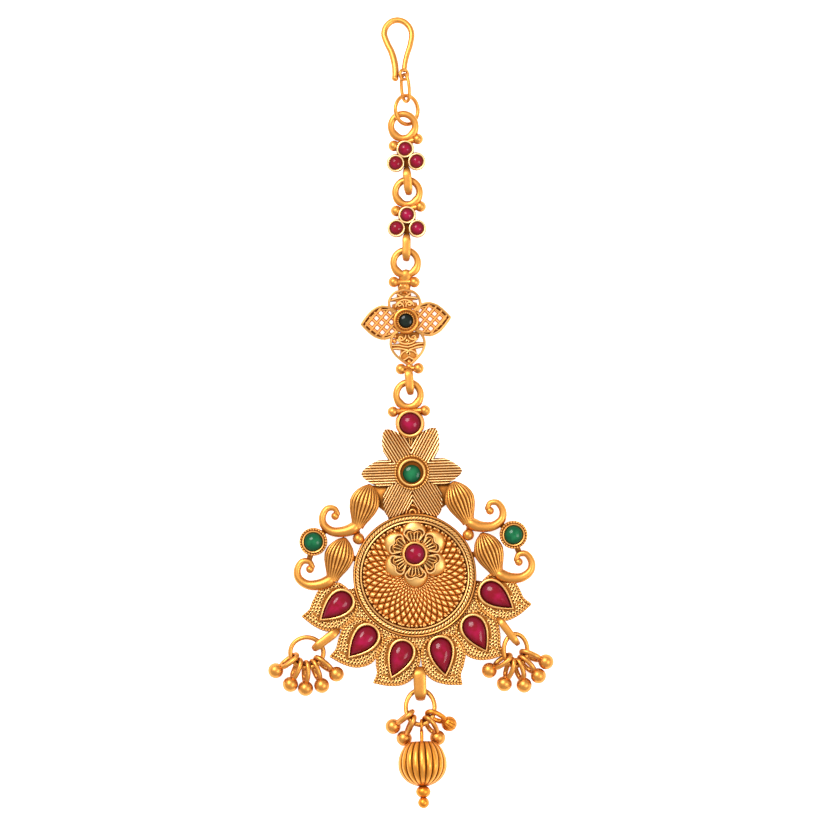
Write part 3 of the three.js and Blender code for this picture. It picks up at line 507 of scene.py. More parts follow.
def smooth_line(points, count, closed=False):
    """Even points along a centripetal spline."""
    points = np.asarray(points, float)
    if closed:
        ring = np.concatenate([points[-1:], points, points[:2]])
    else:
        ring = np.concatenate([2 * points[:1] - points[1:2], points, 2 * points[-1:] - points[-2:-1]])
    fine = []
    for i in range(1, len(ring) - 2):
        p0, p1, p2, p3 = ring[i - 1:i + 3]
        t0 = 0.0
        t1 = t0 + math.sqrt(np.linalg.norm(p1 - p0))
        t2 = t1 + math.sqrt(np.linalg.norm(p2 - p1))
        t3 = t2 + math.sqrt(np.linalg.norm(p3 - p2))
        for t in np.linspace(t1, t2, 24, endpoint=False):
            a1 = (t1 - t) / (t1 - t0) * p0 + (t - t0) / (t1 - t0) * p1
            a2 = (t2 - t) / (t2 - t1) * p1 + (t - t1) / (t2 - t1) * p2
            a3 = (t3 - t) / (t3 - t2) * p2 + (t - t2) / (t3 - t2) * p3
            b1 = (t2 - t) / (t2 - t0) * a1 + (t - t0) / (t2 - t0) * a2
            b2 = (t3 - t) / (t3 - t1) * a2 + (t - t1) / (t3 - t1) * a3
            fine.append((t2 - t) / (t2 - t1) * b1 + (t - t1) / (t2 - t1) * b2)
    fine.append(points[0] if closed else points[-1])
    fine = np.array(fine)
    length = np.concatenate([[0], np.cumsum(np.linalg.norm(np.diff(fine, axis=0), axis=1))])
    stops = np.linspace(0, length[-1], count, endpoint=not closed)
    return np.stack([np.interp(stops, length, fine[:, k]) for k in range(fine.shape[1])], 1)


def line_length(path):
    """The length of a closed line."""
    gaps = np.diff(np.concatenate([path, path[:1]]), axis=0)
    return float(np.linalg.norm(gaps, axis=1).sum())


def flat_path(points, z=0.0):
    points = np.asarray(points, float)
    return np.column_stack([points[:, :2], np.full(len(points), z)])


def oval(half_width, half_length, count=64, power=1.0):
    angle = np.linspace(0, 2 * np.pi, count, endpoint=False)
    part = lambda value: np.sign(value) * np.abs(value) ** power
    return np.column_stack([half_width * part(np.cos(angle)), half_length * part(np.sin(angle)), 0 * angle])


def inset_outline(outline, depth):
    """An outline, counterclockwise, moved inward along its own normals."""
    outline = np.asarray(outline, float)[:, :2]
    run = np.roll(outline, -1, 0) - np.roll(outline, 1, 0)
    run /= np.linalg.norm(run, axis=1)[:, None]
    return outline + depth * np.column_stack([-run[:, 1], run[:, 0]])


def terraced(outline, profile):
    """A plate whose edge goes in and up by (inset, height, groove), closed above and below."""
    rings, grooves = [], []
    for inset, height, groove in profile:
        rings.append(flat_path(inset_outline(outline, inset), height))
        grooves.append(np.full(len(outline), groove))
    points, faces, depth = skin_of_rings(rings, np.array(grooves), capped=False)
    start = (len(profile) - 1) * len(outline)
    faces = [*faces, tuple(range(start, start + len(outline)))]
    faces.append(tuple(reversed(range(len(outline)))))
    return points, faces, depth


def twisted_rope(path, radius, pitch):
    """Two strands laid round each other along a closed path over a dark core, as a list of shapes."""
    path = np.asarray(path, float)
    turns = max(1, round(line_length(path) / (2 * pitch)))
    even = smooth_line(path, turns * 8, True)
    run = np.roll(even, -1, 0) - np.roll(even, 1, 0)
    run /= np.linalg.norm(run, axis=1)[:, None]
    side = np.cross(run, (0.0, 0.0, 1.0))
    top = np.cross(side, run)
    shapes = [swept(even, 0.62 * radius, 6, True, groove=1.0)]
    for strand in (0, np.pi):
        angle = 2 * np.pi * np.arange(len(even)) / 8 + strand
        offset = 0.5 * radius * (np.cos(angle)[:, None] * side + np.sin(angle)[:, None] * top)
        shapes.append(swept(even + offset, 0.54 * radius, 7, True, groove=-0.9))
    return shapes


def wrapped_rope(path, radius, pitch, flat=0.85):
    """A closed border of beads that run into each other, dark where they meet."""
    beads = max(3, round(line_length(path) / pitch))
    count = beads * 5
    even = smooth_line(path, count, True)
    swell = 0.5 + 0.5 * np.cos(2 * np.pi * np.arange(count) / 5)
    # Wash where the beads meet; the bead tops are rubbed, with a painted highlight.
    mask = 0.95 * (1 - swell) ** 1.5 - 0.6 * swell ** 2
    return swept(even, radius * (0.66 + 0.34 * swell ** 0.6), 8, True, flat, groove=mask)


def dark_eye(radius, wire, x, y, z, around=8, dark=1.6):
    """A tiny ring of wire soldered flat round a dark spot, a painted shade for the hollow inside the ring, as
    a list of shapes.
    """
    ring = swept(oval(radius, radius, around), wire, 5, True, groove=-0.8)
    spot = lathe([(radius, -0.25 * wire, dark), (0, -0.2 * wire, dark)], around)
    return [(points + np.array([x, y, z]), faces, grooves) for points, faces, grooves in (ring, spot)]


# Jewellery parts, each a shape or a list of shapes

def strap_bail(x, y, heading, length, width, strap):
    """A strap loop on edge, from (x, y) along its heading."""
    half = STRAP_HEIGHT / 2 - strap / 2
    angle = np.radians(np.linspace(90, 270, 15))
    start, end = STRAP_HEIGHT / 2, length - STRAP_HEIGHT / 2
    back = np.column_stack([start + half * np.cos(angle), half * np.sin(angle)])
    front = np.column_stack([end - half * np.cos(angle), -half * np.sin(angle)])
    run = np.linspace(0, 1, 6)[1:-1, None]
    low = back[-1] + (front[0] - back[-1]) * run
    high = front[-1] + (back[0] - front[-1]) * run
    path = flat_path(np.concatenate([back, low, front, high]))
    middle = 1 - np.abs(2 * path[:, 0] / length - 1)
    broad = width / strap * (0.52 + 0.48 * np.clip(middle / 0.5, 0, 1) ** 0.6)
    # Painted shade: the groove mask darkens the bail towards its bends and leaves its middle light.
    end_shade = 0.6 - 0.55 * np.clip(middle / 0.45, 0, 1)
    shape = swept(path, strap / 2, 20, True, flat=broad, power=0.9, groove=end_shade)
    stand = Matrix(((1, 0, 0, 0), (0, 0, -1, 0), (0, 1, 0, 0), (0, 0, 0, 1)))
    return shape, place(x, y, CHAIN_LEVEL, turn=heading) @ stand


def head_ring(x, y):
    wire = bpy.context.scene.tikka_wires.head_ring_wire / MM
    turn = np.degrees(np.linspace(0, 2 * np.pi, 72, endpoint=False))
    extra = sum(np.exp(-((turn - low) / 20) ** 2) for low in (222, 318))
    line = oval(HEAD_RING_RADIUS, HEAD_RING_RADIUS, 72)
    points, faces, grooves = swept(line, wire * (1 + 0.24 * extra), 18, True, flat=0.8 - 0.15 * extra)
    return points + np.array([x, y, CHAIN_LEVEL]), faces, grooves


def cross_bar(left, right):
    ends = np.array([[*left, CHAIN_LEVEL], [*right, CHAIN_LEVEL]], float)
    run = ends[0] + (ends[1] - ends[0]) * np.linspace(0.06, 0.94, 9)[:, None]
    thick = 0.46 + 0.16 * (2 * np.abs(np.linspace(-0.5, 0.5, 9))) ** 3
    return [ball(LINK_BALL, *ends[0], 28), ball(LINK_BALL, *ends[1], 28), swept(run, thick, 16, groove=0.12)]


def cup(bore, wall, base, seat, rim, lip=0.12, sides=40, dark=1.0):
    """A collet: a wall with a rounded lip, rubbed bright with a painted highlight, round a seat whose bore
    and floor are darkened as painted shade.
    """
    outer = bore + wall
    return lathe([
        (0, base), (outer - 0.1, base), (outer, base + 0.1), (outer, rim - 1.6 * lip),
        (outer - 0.25 * lip, rim - 0.7 * lip), (outer - 0.8 * lip, rim - 0.12 * lip),
        (outer - min(1.3 * lip, 0.5 * wall), rim, -0.5), (bore + min(0.8 * lip, 0.45 * wall), rim, -0.5),
        (bore + 0.1 * lip, rim - 0.12 * lip, -0.2), (bore - 0.08, rim - 0.7 * lip, 0.3),
        (bore - 0.08, rim - 1.3 * lip, 0.8 * dark), (bore, rim - 2 * lip, dark), (bore, seat + 0.1, dark),
        (bore - 0.1, seat, dark), (0, seat, dark)], sides)


def dome(radius, foot, girdle, crown):
    """A cabochon, whose groove mask runs from 0 on its crown to 1 at its girdle, where the glass finish
    paints shade.
    """
    rise = []
    for a in np.linspace(0, np.pi / 2, 12):
        reach = radius * math.cos(a) if a < QUARTER else 0
        rise.append((reach, girdle + (crown - girdle) * math.sin(a), math.cos(a) ** 2))
    return lathe([(0, foot, 1), (radius - 0.05, foot, 1), (radius, foot + 0.05, 1), *rise], 48)


def stone_in(setting, radius=None):
    bore, _, _, seat, rim, crown = setting
    radius = radius or bore - 0.03
    return dome(radius, seat + 0.1, min(rim, crown) - 0.34 * radius, crown)


# bore, wall, base, seat, rim, crown of each setting
SMALL_SETTING = (1.15, 0.24, LINK_BACK, 1.6, 2.45, 2.95)
DARK_SETTING = (1.15, 1.0, LINK_BACK, 1.3, 2.6, 2.3)
FLOWER_SETTING = (1.75, 0.35, 1.4, 2.6, 3.5, 4.1)
STAR_SETTING = (1.95, 0.4, 0.5, 1.7, 2.8, 2.75)
TOP_SETTING = (1.85, 0.45, 0.3, 1.7, 2.7, 3.3)
SIDE_SETTING = (1.65, 0.65, 0.2, 1.6, 2.5, 3.1)

FLOWER_AT = (0.15, 3.55)
STAR_AT = (0.1, 16.95)
TOP_AT = (0.1, 25.0)
SIDE_AT = (16.5, 6.1)
TREFOIL_STONES = {"top": (0, -3.75), "left": (-1.72, -5.95), "right": (1.72, -5.95)}


# Chain

HOOK_LINE = [
    (-1.45, -0.6), (-1.4, 0.3), (-1.5, 1.6), (-2.0, 3.6), (-2.85, 5.4), (-3.27, 6.8),
    (-2.95, 8.0), (-2.1, 8.85), (-1.1, 9.1), (-0.05, 8.85), (0.85, 8.0), (1.26, 6.8),
    (1.02, 5.0), (0.5, 3.3), (0.18, 1.9), (0.05, 0.8),
]
HOOK_SLOPE = -0.187


def hair_hook():
    wires = bpy.context.scene.tikka_wires
    level = CHAIN_LEVEL + HOOK_END_RISE
    line = np.array([(x, y, level + HOOK_SLOPE * y) for x, y in HOOK_LINE])
    path = smooth_line(line, 90)
    share = np.linspace(0, 1, 90)
    broad = wires.hook_wire / MM * np.interp(share, [0, 0.12, 0.4, 0.6, 1], [1.0, 1.08, 0.98, 0.94, 0.82])
    casting = Casting(LAID @ place(*HOOK_EYE))
    casting.add(swept(path, broad, 16, flat=0.86, groove=0.15))
    casting.add(ball(0.56, *path[0], 24))
    eye = swept(oval(0.82, 0.82, 40), wires.eye_wire / MM, 10, True)
    casting.add(eye, place(z=level, roll=40))
    return casting


def wire_ring(x, y, half_width, half_length, wire, level, roll=0, pitch=0, turn=0, power=1.0):
    at = LAID @ place(x, y, level, turn=turn, tilt=pitch, roll=roll)
    return Casting(at).add(swept(oval(half_width, half_length, 64, power), wire, 14, True)), at


WIRE_RINGS = {
    "hook_link": dict(x=-1.54, y=80.2, half_width=0.97, half_length=2.2, wire=0.29, level=2.18,
                      roll=-50, turn=5, power=0.8),
    "chain_jump_ring": dict(x=-1.32, y=76.6, half_width=2.6, half_length=2.36, wire=0.33, level=2.18,
                            roll=45),
    "left_jump_ring": dict(x=-17.77, y=-12.71, half_width=2.72, half_length=2.5, wire=0.4, level=1.5),
    "right_jump_ring": dict(x=16.6, y=-12.29, half_width=1.98, half_length=2.64, wire=0.38, level=1.67,
                            roll=12),
    "foot_jump_ring": dict(x=0.91, y=-21.7, half_width=2.36, half_length=2.9, wire=0.4, level=2.2,
                           pitch=-15),
}


def trefoil_link(at):
    casting = Casting(at)
    casting.add(head_ring(0, 0))
    casting.add(cross_bar((-1.8, -3.1), (2.2, -2.3)))
    casting.add(lathe([(0, LINK_BACK), (1.55, LINK_BACK), (1.6, 0.4), (1.6, 1.45, 0.6), (1.5, 1.6, 0.9),
                       (0, 1.6, 1.0)], 32), place(0, -5.2))
    shape, stand = strap_bail(0, -6.7, 270, 4.7, 1.4, 0.5)
    casting.add(shape, stand)
    bore, wall, base, seat, rim, _ = SMALL_SETTING
    for x, y in TREFOIL_STONES.values():
        casting.add(cup(bore, wall, base, seat, rim, lip=0.1), place(x, y))
        casting.add(wrapped_rope(oval(bore + wall, bore + wall, 48), 0.13, 0.36), place(x, y, 1.3))
        # Bezel burnished, with a painted highlight.
        bezel = swept(oval(bore + 0.12, bore + 0.12, 48), 0.14, 10, True, groove=-1.5)
        casting.add(bezel, place(x, y, rim - 0.02))
    return casting


POINTED = [(1.5, 0.6), (2.7, 0.9), (4.1, 1.0), (5.4, 0.83), (6.5, 0.48), (7.6, 0)]
ROUNDED = [(1.5, 0.8), (2.7, 1.0), (3.9, 0.95), (4.9, 0.62), (5.35, 0)]


def petal_ring(half_outline, half, inset):
    """A petal's closed outline along +X, from the collet round its tip and back."""
    tip = half_outline[-1][0]
    side = [(x * (1 - 1.3 * inset / tip), share * (half - inset)) for x, share in half_outline[:-1]]
    far = (tip - 1.3 * inset, 0)
    lower = smooth_line([(x, -y) for x, y in side] + [far], PETAL_POINTS)
    upper = smooth_line([far] + side[::-1], PETAL_POINTS)
    return np.concatenate([lower[:-1], upper])


def inside(outline, x, y):
    """Whether a point lies in an outline."""
    ring = np.asarray(outline)[:, :2]
    nxt = np.roll(ring, -1, 0)
    crosses = ((ring[:, 1] > y) != (nxt[:, 1] > y))
    rise = np.where(nxt[:, 1] == ring[:, 1], 1e-9, nxt[:, 1] - ring[:, 1])
    cut = (nxt[:, 0] - ring[:, 0]) * (y - ring[:, 1]) / rise + ring[:, 0]
    return int((crosses & (x < cut)).sum()) % 2 == 1


def clipped_bar(outline, start, run):
    """The stretch of a straight line that lies in an outline."""
    spots = [np.array(start) + np.array(run) * t for t in np.linspace(-9.0, 9.0, 361)]
    kept = [spot for spot in spots if inside(outline, *spot)]
    return (kept[0], kept[-1]) if len(kept) > 4 else None


LATTICE_STEP = 1.13
LATTICE_BAR = 0.31


def lattice_petal(outline):
    """A petal of crossed bars within a double border."""
    shapes = [swept(flat_path(outline, 1.2), 0.24, 10, flat=2.6, power=0.8, groove=-0.4)]
    inner = petal_ring(POINTED, 2.85, 0.74)
    shapes.append(swept(flat_path(inner, 1.25), 0.16, 8, flat=3.2, groove=-0.3))
    middle = petal_ring(POINTED, 2.85, 0.48)
    shapes.append(swept(flat_path(middle, 1.1), 0.22, 6, flat=1.6, groove=0.6))
    for lean in (1, -1):
        for step in range(-4, 12):
            bar = clipped_bar(outline, (LATTICE_STEP * 1.4142 * step, 0), (0.7071, 0.7071 * lean))
            if bar:
                run = np.array(bar[0]) + (np.array(bar[1]) - bar[0]) * np.linspace(0, 1, 12)[:, None]
                line = flat_path(run, 1.05 + 0.1 * lean)
                shapes.append(swept(line, LATTICE_BAR, 8, flat=1.6, groove=-0.35))
    return shapes


# Half outlines of the two scroll petals' plates, and the wires of one half, as (along, across)
TOP_PLATE = [(1.9, 2.2), (2.85, 2.05), (3.05, 1.4), (3.3, 1.4), (3.35, 2.45), (3.85, 2.4),
             (4.0, 1.2), (5.05, 1.15), (5.2, 0.5)]
TOP_WIRES = [
    [(3.5, 2.4), (3.8, 1.3), (3.97, 0.0), (4.25, -0.75), (4.7, -1.12), (5.05, -0.75),
     (4.9, -0.35), (4.6, -0.5)],
    [(2.4, 1.5), (2.95, 1.25), (3.35, 0.65), (3.5, 0.0)],
    [(2.3, 0.2), (2.75, 0.3), (3.05, 0.7), (2.85, 1.1), (2.5, 0.95), (2.6, 0.65)],
]
TOP_HOLES = [(2.75, 0.75, 0.13), (4.78, 0.72, 0.17), (3.15, 0.0, 0.13)]
FOOT_PLATE = [(1.9, 2.15), (2.95, 1.95), (3.15, 1.4), (3.6, 1.35), (3.65, 2.6), (4.6, 2.5),
              (4.75, 1.3), (5.6, 1.4), (6.3, 1.1), (6.9, 0.5)]
FOOT_WIRES = [
    [(3.85, 2.6), (3.9, 1.6), (4.15, 0.7), (4.3, 0.0)],
    [(4.4, 2.5), (4.4, 1.6), (4.6, 0.8), (4.75, 0.2)],
    [(2.3, 0.2), (2.8, 0.35), (3.15, 0.85), (2.95, 1.4), (2.5, 1.25), (2.6, 0.85)],
    [(3.05, 1.65), (3.5, 1.1), (3.75, 0.5), (3.8, 0.0)],
    [(5.55, 1.3), (5.2, 1.0), (4.95, 0.5), (4.9, 0.0)],
    [(5.65, 1.4), (6.1, 1.3), (6.4, 0.85), (6.2, 0.4), (5.9, 0.0)],
]
FOOT_HOLES = [(2.78, 0.95, 0.13), (5.35, 0.0, 0.17), (3.35, 0.0, 0.13)]


def scroll_petal(half_outline, half, plate, wires, holes):
    """An openwork petal: a border round a cut plate that carries curled wires and small holes, drawn as rings
    round dark spots of painted shade.
    """
    outline = petal_ring(half_outline, half, 0.2)
    shapes = [swept(flat_path(outline, 1.2), 0.24, 10, flat=2.6, power=0.8, groove=-0.4)]
    cut = [(x, -y) for x, y in plate] + plate[::-1]
    shapes.append(terraced(np.array(cut), [(0, LINK_BACK, 0.3), (0, 0.9, 0.3), (0.05, 1.0, 0.45)]))
    for side in (1, -1):
        for line in wires:
            run = smooth_line([(x, y * side) for x, y in line], 26)
            shapes.append(swept(flat_path(run, 1.12), 0.17, 8, flat=1.4, groove=-1.0))
        for x, y, radius in holes:
            if y or side > 0:
                shapes.extend(dark_eye(radius + 0.08, 0.08, x, y * side, 1.08, 12, 1.15))
    return shapes


NECK_BEADS = [(-0.35, 5.85, 0.34), (0.35, 5.7, 0.34), (0.75, 6.1, 0.28), (0.15, 6.75, 0.3), (-0.1, 6.2, 0.26)]


def pierced_link():
    casting = Casting(LAID @ place(*PIERCED_PLACE[:2], turn=PIERCED_PLACE[2]))
    for turn in (0, 180):
        casting.add(lattice_petal(petal_ring(POINTED, 2.85, 0.22)), place(turn=turn))
    casting.add(scroll_petal(ROUNDED, 2.75, TOP_PLATE, TOP_WIRES, TOP_HOLES), place(turn=90))
    casting.add(scroll_petal(POINTED, 3.0, FOOT_PLATE, FOOT_WIRES, FOOT_HOLES), place(turn=270))
    for x, y in ((0, -6.75), (-2.05, -2.35), (-2.15, -3.2)):
        casting.add(ball(0.42, x, y, 1.15, 18, groove=-0.2))
    bore, _, base, seat, _, _ = DARK_SETTING
    casting.add(lathe([
        (0, base), (2.05, base), (2.15, 0.4), (2.15, 2.1), (2.12, 2.4), (2.0, 2.58), (1.85, 2.62),
        (1.72, 2.55), (1.62, 2.3, 0.25), (1.45, 2.12, 0.45), (1.3, 2.1, 0.1), (1.2, 2.02, 0.2),
        (bore, 1.85, 0.8), (bore, seat, 1.0), (0, seat, 1.0)], 56))
    casting.add(wrapped_rope(oval(1.32, 1.32, 60), 0.12, 0.33), place(z=2.12))
    casting.add(head_ring(0.7, 9.57))
    neck = np.array([(0.15, 5.6, 1.15), (0.25, 6.3, 1.2), (0.6, 7.4, 1.4)])
    casting.add(swept(smooth_line(neck, 12), 1.1, 16, flat=0.55, groove=0.3))
    for pair in (((-1.5, 6.55), (1.9, 6.25)), ((-1.45, -7.85), (1.45, -7.95))):
        casting.add(cross_bar(*pair))
    casting.add(ball(0.62, 0, -7.55, 1.35, 22))
    for x, y, size in NECK_BEADS:
        casting.add(ball(size, x, y, 1.55, 14, groove=-0.4))
    shape, stand = strap_bail(-0.2, -7.6, 270, 4.65, 1.4, 0.5)
    return casting.add(shape, stand)


# Pendant

def rim_and_collar():
    """The disc's stepped rim, a twisted rope between plain lines, and the collar under the leaves."""
    casting = Casting(PENDANT)
    # The rim's channels go from antique wash to near-black painted shade; its ridges are rubbed, with a
    # painted highlight.
    casting.add(lathe([
        (0, 0), (10.0, 0), (10.15, 0.2), (10.18, 1.2), (10.18, 1.8), (10.12, 2.02), (10.0, 2.12, -0.5),
        (9.88, 2.06, 0.2), (9.8, 1.85, 1.0), (9.76, 1.8, 1.2), (9.12, 1.8, 1.2), (9.08, 1.85, 1.0),
        (9.04, 2.1), (8.97, 2.26, -0.5), (8.86, 2.3, -0.7), (8.76, 2.24, -0.5), (8.7, 2.05, 0.3),
        (8.66, 1.7, 1.1), (8.6, 1.45, 1.3),
        (0, 1.3, 1.0)], 160))
    casting.add(twisted_rope(oval(9.44, 9.44, 360), 0.3, 0.56), place(z=2.02))
    for i in range(72):
        casting.add(ball(0.24, 8.36, 0, 1.86, 10, groove=-0.6), place(turn=5 * i))
    angle = np.radians(np.linspace(190, 353, 60))
    outer = np.column_stack([12.5 * np.cos(angle), 12.5 * np.sin(angle)])
    inner = np.column_stack([9.6 * np.cos(angle), 9.6 * np.sin(angle)])[::-1]
    casting.add(terraced(np.concatenate([outer, inner]), [(0, 0, 0.3), (0.02, 1.2, 0.6), (0.12, 1.3, 1.0)]))
    for around in (214.6, 243.5, 272.1, 300.8, 329.2):
        wedge = np.array([(11.5, -2.2), (13.7, -0.75), (13.7, 0.75), (11.5, 2.2)])
        casting.add(terraced(wedge, [(0, 0, 0.6), (0.02, 1.1, 0.9), (0.1, 1.2, 1.0)]), place(turn=around))
    # Rows of circlets, each ringing a dark spot of painted shade.
    for row, (reach, count) in enumerate(((10.5, 52), (11.02, 54), (11.54, 56), (12.06, 58))):
        for i in range(count):
            turn = math.radians(191 + (161 * (i + 0.5 * (row % 2))) / count)
            casting.add(dark_eye(0.21, 0.075, reach * math.cos(turn), reach * math.sin(turn), 1.36))
    return casting


def scale_field():
    """Scales between two families of spirals that open out from the disc's middle, one skin over its face."""
    relief = bpy.context.scene.tikka_relief
    around = relief.scales_around
    depth = relief.scale_depth / MM
    fine = 5
    reach = np.linspace(1.2, 8.8, 200)
    aspect = np.interp(reach, [1.2, 3.5, 8.7], [3.0, 2.3, 1.45])
    turns = np.concatenate([[0], np.cumsum(np.diff(reach) * (around / (2 * math.pi * aspect * reach))[1:])])
    last = int(turns[-1] * 2 * fine)
    limit = 8.68
    points, grooves, index = [], [], {}

    def corner(p, q):
        key = (p, q % (2 * fine * around))
        if key not in index:
            a, b = q / (2 * fine), p / (2 * fine)
            out = float(np.interp(b, turns, reach))
            angle = 2 * math.pi * a / around
            x = out * math.cos(angle)
            y = out * math.sin(angle)
            u, v = (a + b) % 1, (a - b) % 1
            edge = min(u, 1 - u, v, 1 - v) * 2
            up = min(1.0, edge / 0.3)
            up = up * up * (3 - 2 * up)
            size = min(1.0, 0.15 + out / 8)
            crown = 1.38 + 0.22 * (1 - (out / 8.6) ** 2)
            index[key] = len(points)
            points.append((x, y, crown + depth * size * (0.7 * up + 0.6 * edge)))
            # Antique wash in the lines between the scales, and burnished scale tops with a painted highlight.
            grooves.append(0.52 * size * max(0.0, 1 - 1.15 * up) - 1.6 * max(0.0, edge - 0.25))
        return index[key]

    faces = []
    for p in range(1, last):
        for q in range(0, 2 * fine * around):
            if (p + q) % 2:
                continue
            face = [corner(p, q), corner(p + 1, q + 1), corner(p, q + 2), corner(p - 1, q + 1)]
            if all(math.hypot(*points[i][:2]) < limit for i in face):
                faces.append(tuple(face))
    used = sorted({i for face in faces for i in face})
    new = {old: i for i, old in enumerate(used)}
    faces = [tuple(new[i] for i in face) for face in faces]
    return [points[i] for i in used], faces, [grooves[i] for i in used]


def notched_petal(out, half):
    """A heart-shaped petal's outline along +X."""
    start = 1.9
    side = [(start, 0.35 * half), (start + 0.35 * (out - start), 0.7 * half), (out - 0.75, half),
            (out - 0.2, 0.82 * half), (out, 0.45 * half), (out - 0.3, 0.0)]
    lower = [(x, -y) for x, y in side]
    return smooth_line(side + lower[:-1][::-1], 48)


def disc_flower():
    casting = Casting(PENDANT @ place(*FLOWER_AT))
    for i in range(6):
        at = place(turn=30 + 60 * i) @ Matrix.Translation((3.65, 0, 1.4))
        steps = np.radians(np.linspace(0, 90, 14))
        rows = [(math.cos(a) ** 0.75 if a < QUARTER else 0, math.sin(a),
                 0.8 * math.cos(a) ** 8 - 0.7 * math.sin(a) ** 3) for a in steps]
        shape = lathe([(0, -0.2, 1), (1.0, -0.2, 1), *rows], 44)
        points = shape[0] * (1.85, 2.12, 1.05)
        points[:, 0] += 0.14 * points[:, 0] * (1 - np.abs(points[:, 1]) / 2.2)
        casting.add((points, *shape[1:]), at)
    for i in range(6):
        at = place(turn=30 + 60 * i)
        outline = notched_petal(4.15, 1.68)
        # Petal plate darkened by wash that deepens to painted shade, inside an outline burnished with a
        # painted highlight.
        casting.add(terraced(outline, [(0, 1.5, 0.9), (0.0, 2.4, 1.1), (0.06, 2.58, 1.25)]), at)
        casting.add(swept(flat_path(outline, 2.74), 0.13, 8, groove=-1.2), at)
        lobes = notched_petal(3.72, 1.26)
        casting.add(swept(flat_path(lobes, 2.74), 0.085, 6, groove=-0.3), at)
        for lean in (-20, -10, 0, 10, 20):
            reach = 3.6 - 0.25 * abs(lean) / 20 - (0.35 if lean == 0 else 0)
            run = np.array([(2.0, 0, 2.8), (reach, 0, 2.8)])
            spread = place(turn=lean)
            casting.add(swept(smooth_line(run, 5), 0.085, 6, groove=-0.8), at @ spread)
            casting.add(ball(0.17, reach, 0, 2.82, 10, groove=-0.4), at @ spread)
    for i in range(30):
        casting.add(ball(0.13, 2.3, 0, 2.85, 10), place(turn=12 * i))
    bore, wall, base, seat, rim, _ = FLOWER_SETTING
    casting.add(cup(bore, wall, base, seat, rim, lip=0.14, sides=56))
    for i in range(15):
        turn = math.radians(213 + 8.2 * i)
        casting.add(ball(0.19, 5.72 * math.cos(turn), 5.72 * math.sin(turn), 1.78, 10, groove=-0.4))
    return casting


def star_petal(half):
    """One ridged petal along +X: columns of points along each ridge, trimmed to the petal's outline."""
    relief = bpy.context.scene.tikka_relief
    length, edge, rise = 8.35, 1.25, 0.72
    pitch, depth = relief.petal_ridge / MM, relief.ridge_depth / MM
    ridges = 2 * round(half / pitch)
    per = 6
    across = np.linspace(-half, half, ridges * per + 1)
    rows = 14
    points, grooves = [], []
    for column, y in enumerate(across):
        share = abs(y) / half
        end = np.interp(share, [0, 0.3, 0.62, 0.86, 1.0], [length, 8.0, 7.08, 6.2, 5.5])
        start = max(1.72 * abs(y), 1.9)
        phase = column % per / per
        wave = 0.5 - 0.5 * math.cos(2 * math.pi * phase)
        for row in range(rows):
            x = start + (end - start) * row / (rows - 1)
            swell = rise * (1 - share ** 2) * (1 - 0.25 * (x / length) ** 2)
            z = edge + 0.25 + swell - depth * (1 - wave)
            lip = 0.12 if row == rows - 1 else 0.0
            points.append((x, y, z - lip))
            # Antique wash between the ridges deepens to near-black painted shade, and the crests are
            # burnished with a painted highlight.
            grooves.append(1.7 * (1 - wave) ** 1.8 - 2.0 * wave ** 1.8)
    faces = []
    columns = len(across)
    for c in range(columns - 1):
        for r in range(rows - 1):
            a = c * rows + r
            faces.append((a, a + 1, a + rows + 1, a + rows))
    border = ([c * rows for c in range(columns)] + [(columns - 1) * rows + r for r in range(1, rows)]
              + [c * rows + rows - 1 for c in range(columns - 2, -1, -1)] + list(range(rows - 2, 0, -1)))
    base = len(points)
    for corner in border:
        x, y, _ = points[corner]
        points.append((x, y, 0.15))
        grooves.append(0.4)
    count = len(border)
    for i in range(count):
        k = (i + 1) % count
        faces.append((border[i], border[k], base + k, base + i)[::-1])
    faces.append(tuple(base + i for i in range(count)))
    return points, faces, grooves


def star():
    casting = Casting(PENDANT @ place(*STAR_AT))
    for i in range(6):
        casting.add(star_petal(2.45 if i in (4, 5) else 2.2), place(turn=60 * i))
    casting.add(lathe([(0, 0), (2.9, 0), (2.95, 0.2), (2.95, 1.95, 0.5), (2.8, 2.2, 0.5), (2.6, 2.28, 0.7),
                       (1.9, 2.3, 0.9), (0, 2.3, 1)], 56))
    casting.add(wrapped_rope(oval(2.72, 2.72, 72), 0.19, 0.46), place(z=2.26))
    throat = np.array([(-1.6, 3.6), (1.6, 3.6), (2.0, 6.2), (-2.0, 6.2)])
    # The plate under the throat's ribs is darkened, deepening to painted shade in the slits between them.
    casting.add(terraced(throat, [(0, 0.2, 0.6), (0.02, 1.0, 1.1)]))
    for x in (-1.2, -0.72, -0.24, 0.24, 0.72, 1.2):
        run = np.array([(0.35 * x, 3.6, 1.02), (x, 5.9, 1.02)])
        casting.add(swept(smooth_line(run, 6), 0.13, 6, groove=-0.5))
    bore, wall, base, seat, rim, _ = STAR_SETTING
    casting.add(cup(bore, wall, base, seat, rim, lip=0.16, sides=56, dark=1.7))
    return casting


BUD_ROOT = (-6.95, 14.85)
BUD_FOOT = (-9.2, 8.25)
BUD_HALF = [(-0.06, 0.1), (-0.03, 0.6), (0.03, 1.15), (0.14, 1.85), (0.28, 2.35), (0.42, 2.5), (0.58, 2.25),
            (0.74, 1.75), (0.88, 1.25), (1.0, 1.0)]
BUD_LEVEL = 1.45
TAIL = [(-8.8, 9.5, 0.5), (-9.05, 8.85, 0.8), (-9.75, 8.15, 1.04), (-11.3, 7.62, 0.92),
        (-13.3, 7.7, 0.78), (-14.65, 8.75, 0.68), (-14.85, 10.2, 0.6), (-14.0, 11.5, 0.54),
        (-12.8, 11.45, 0.48), (-12.35, 10.6, 0.46)]


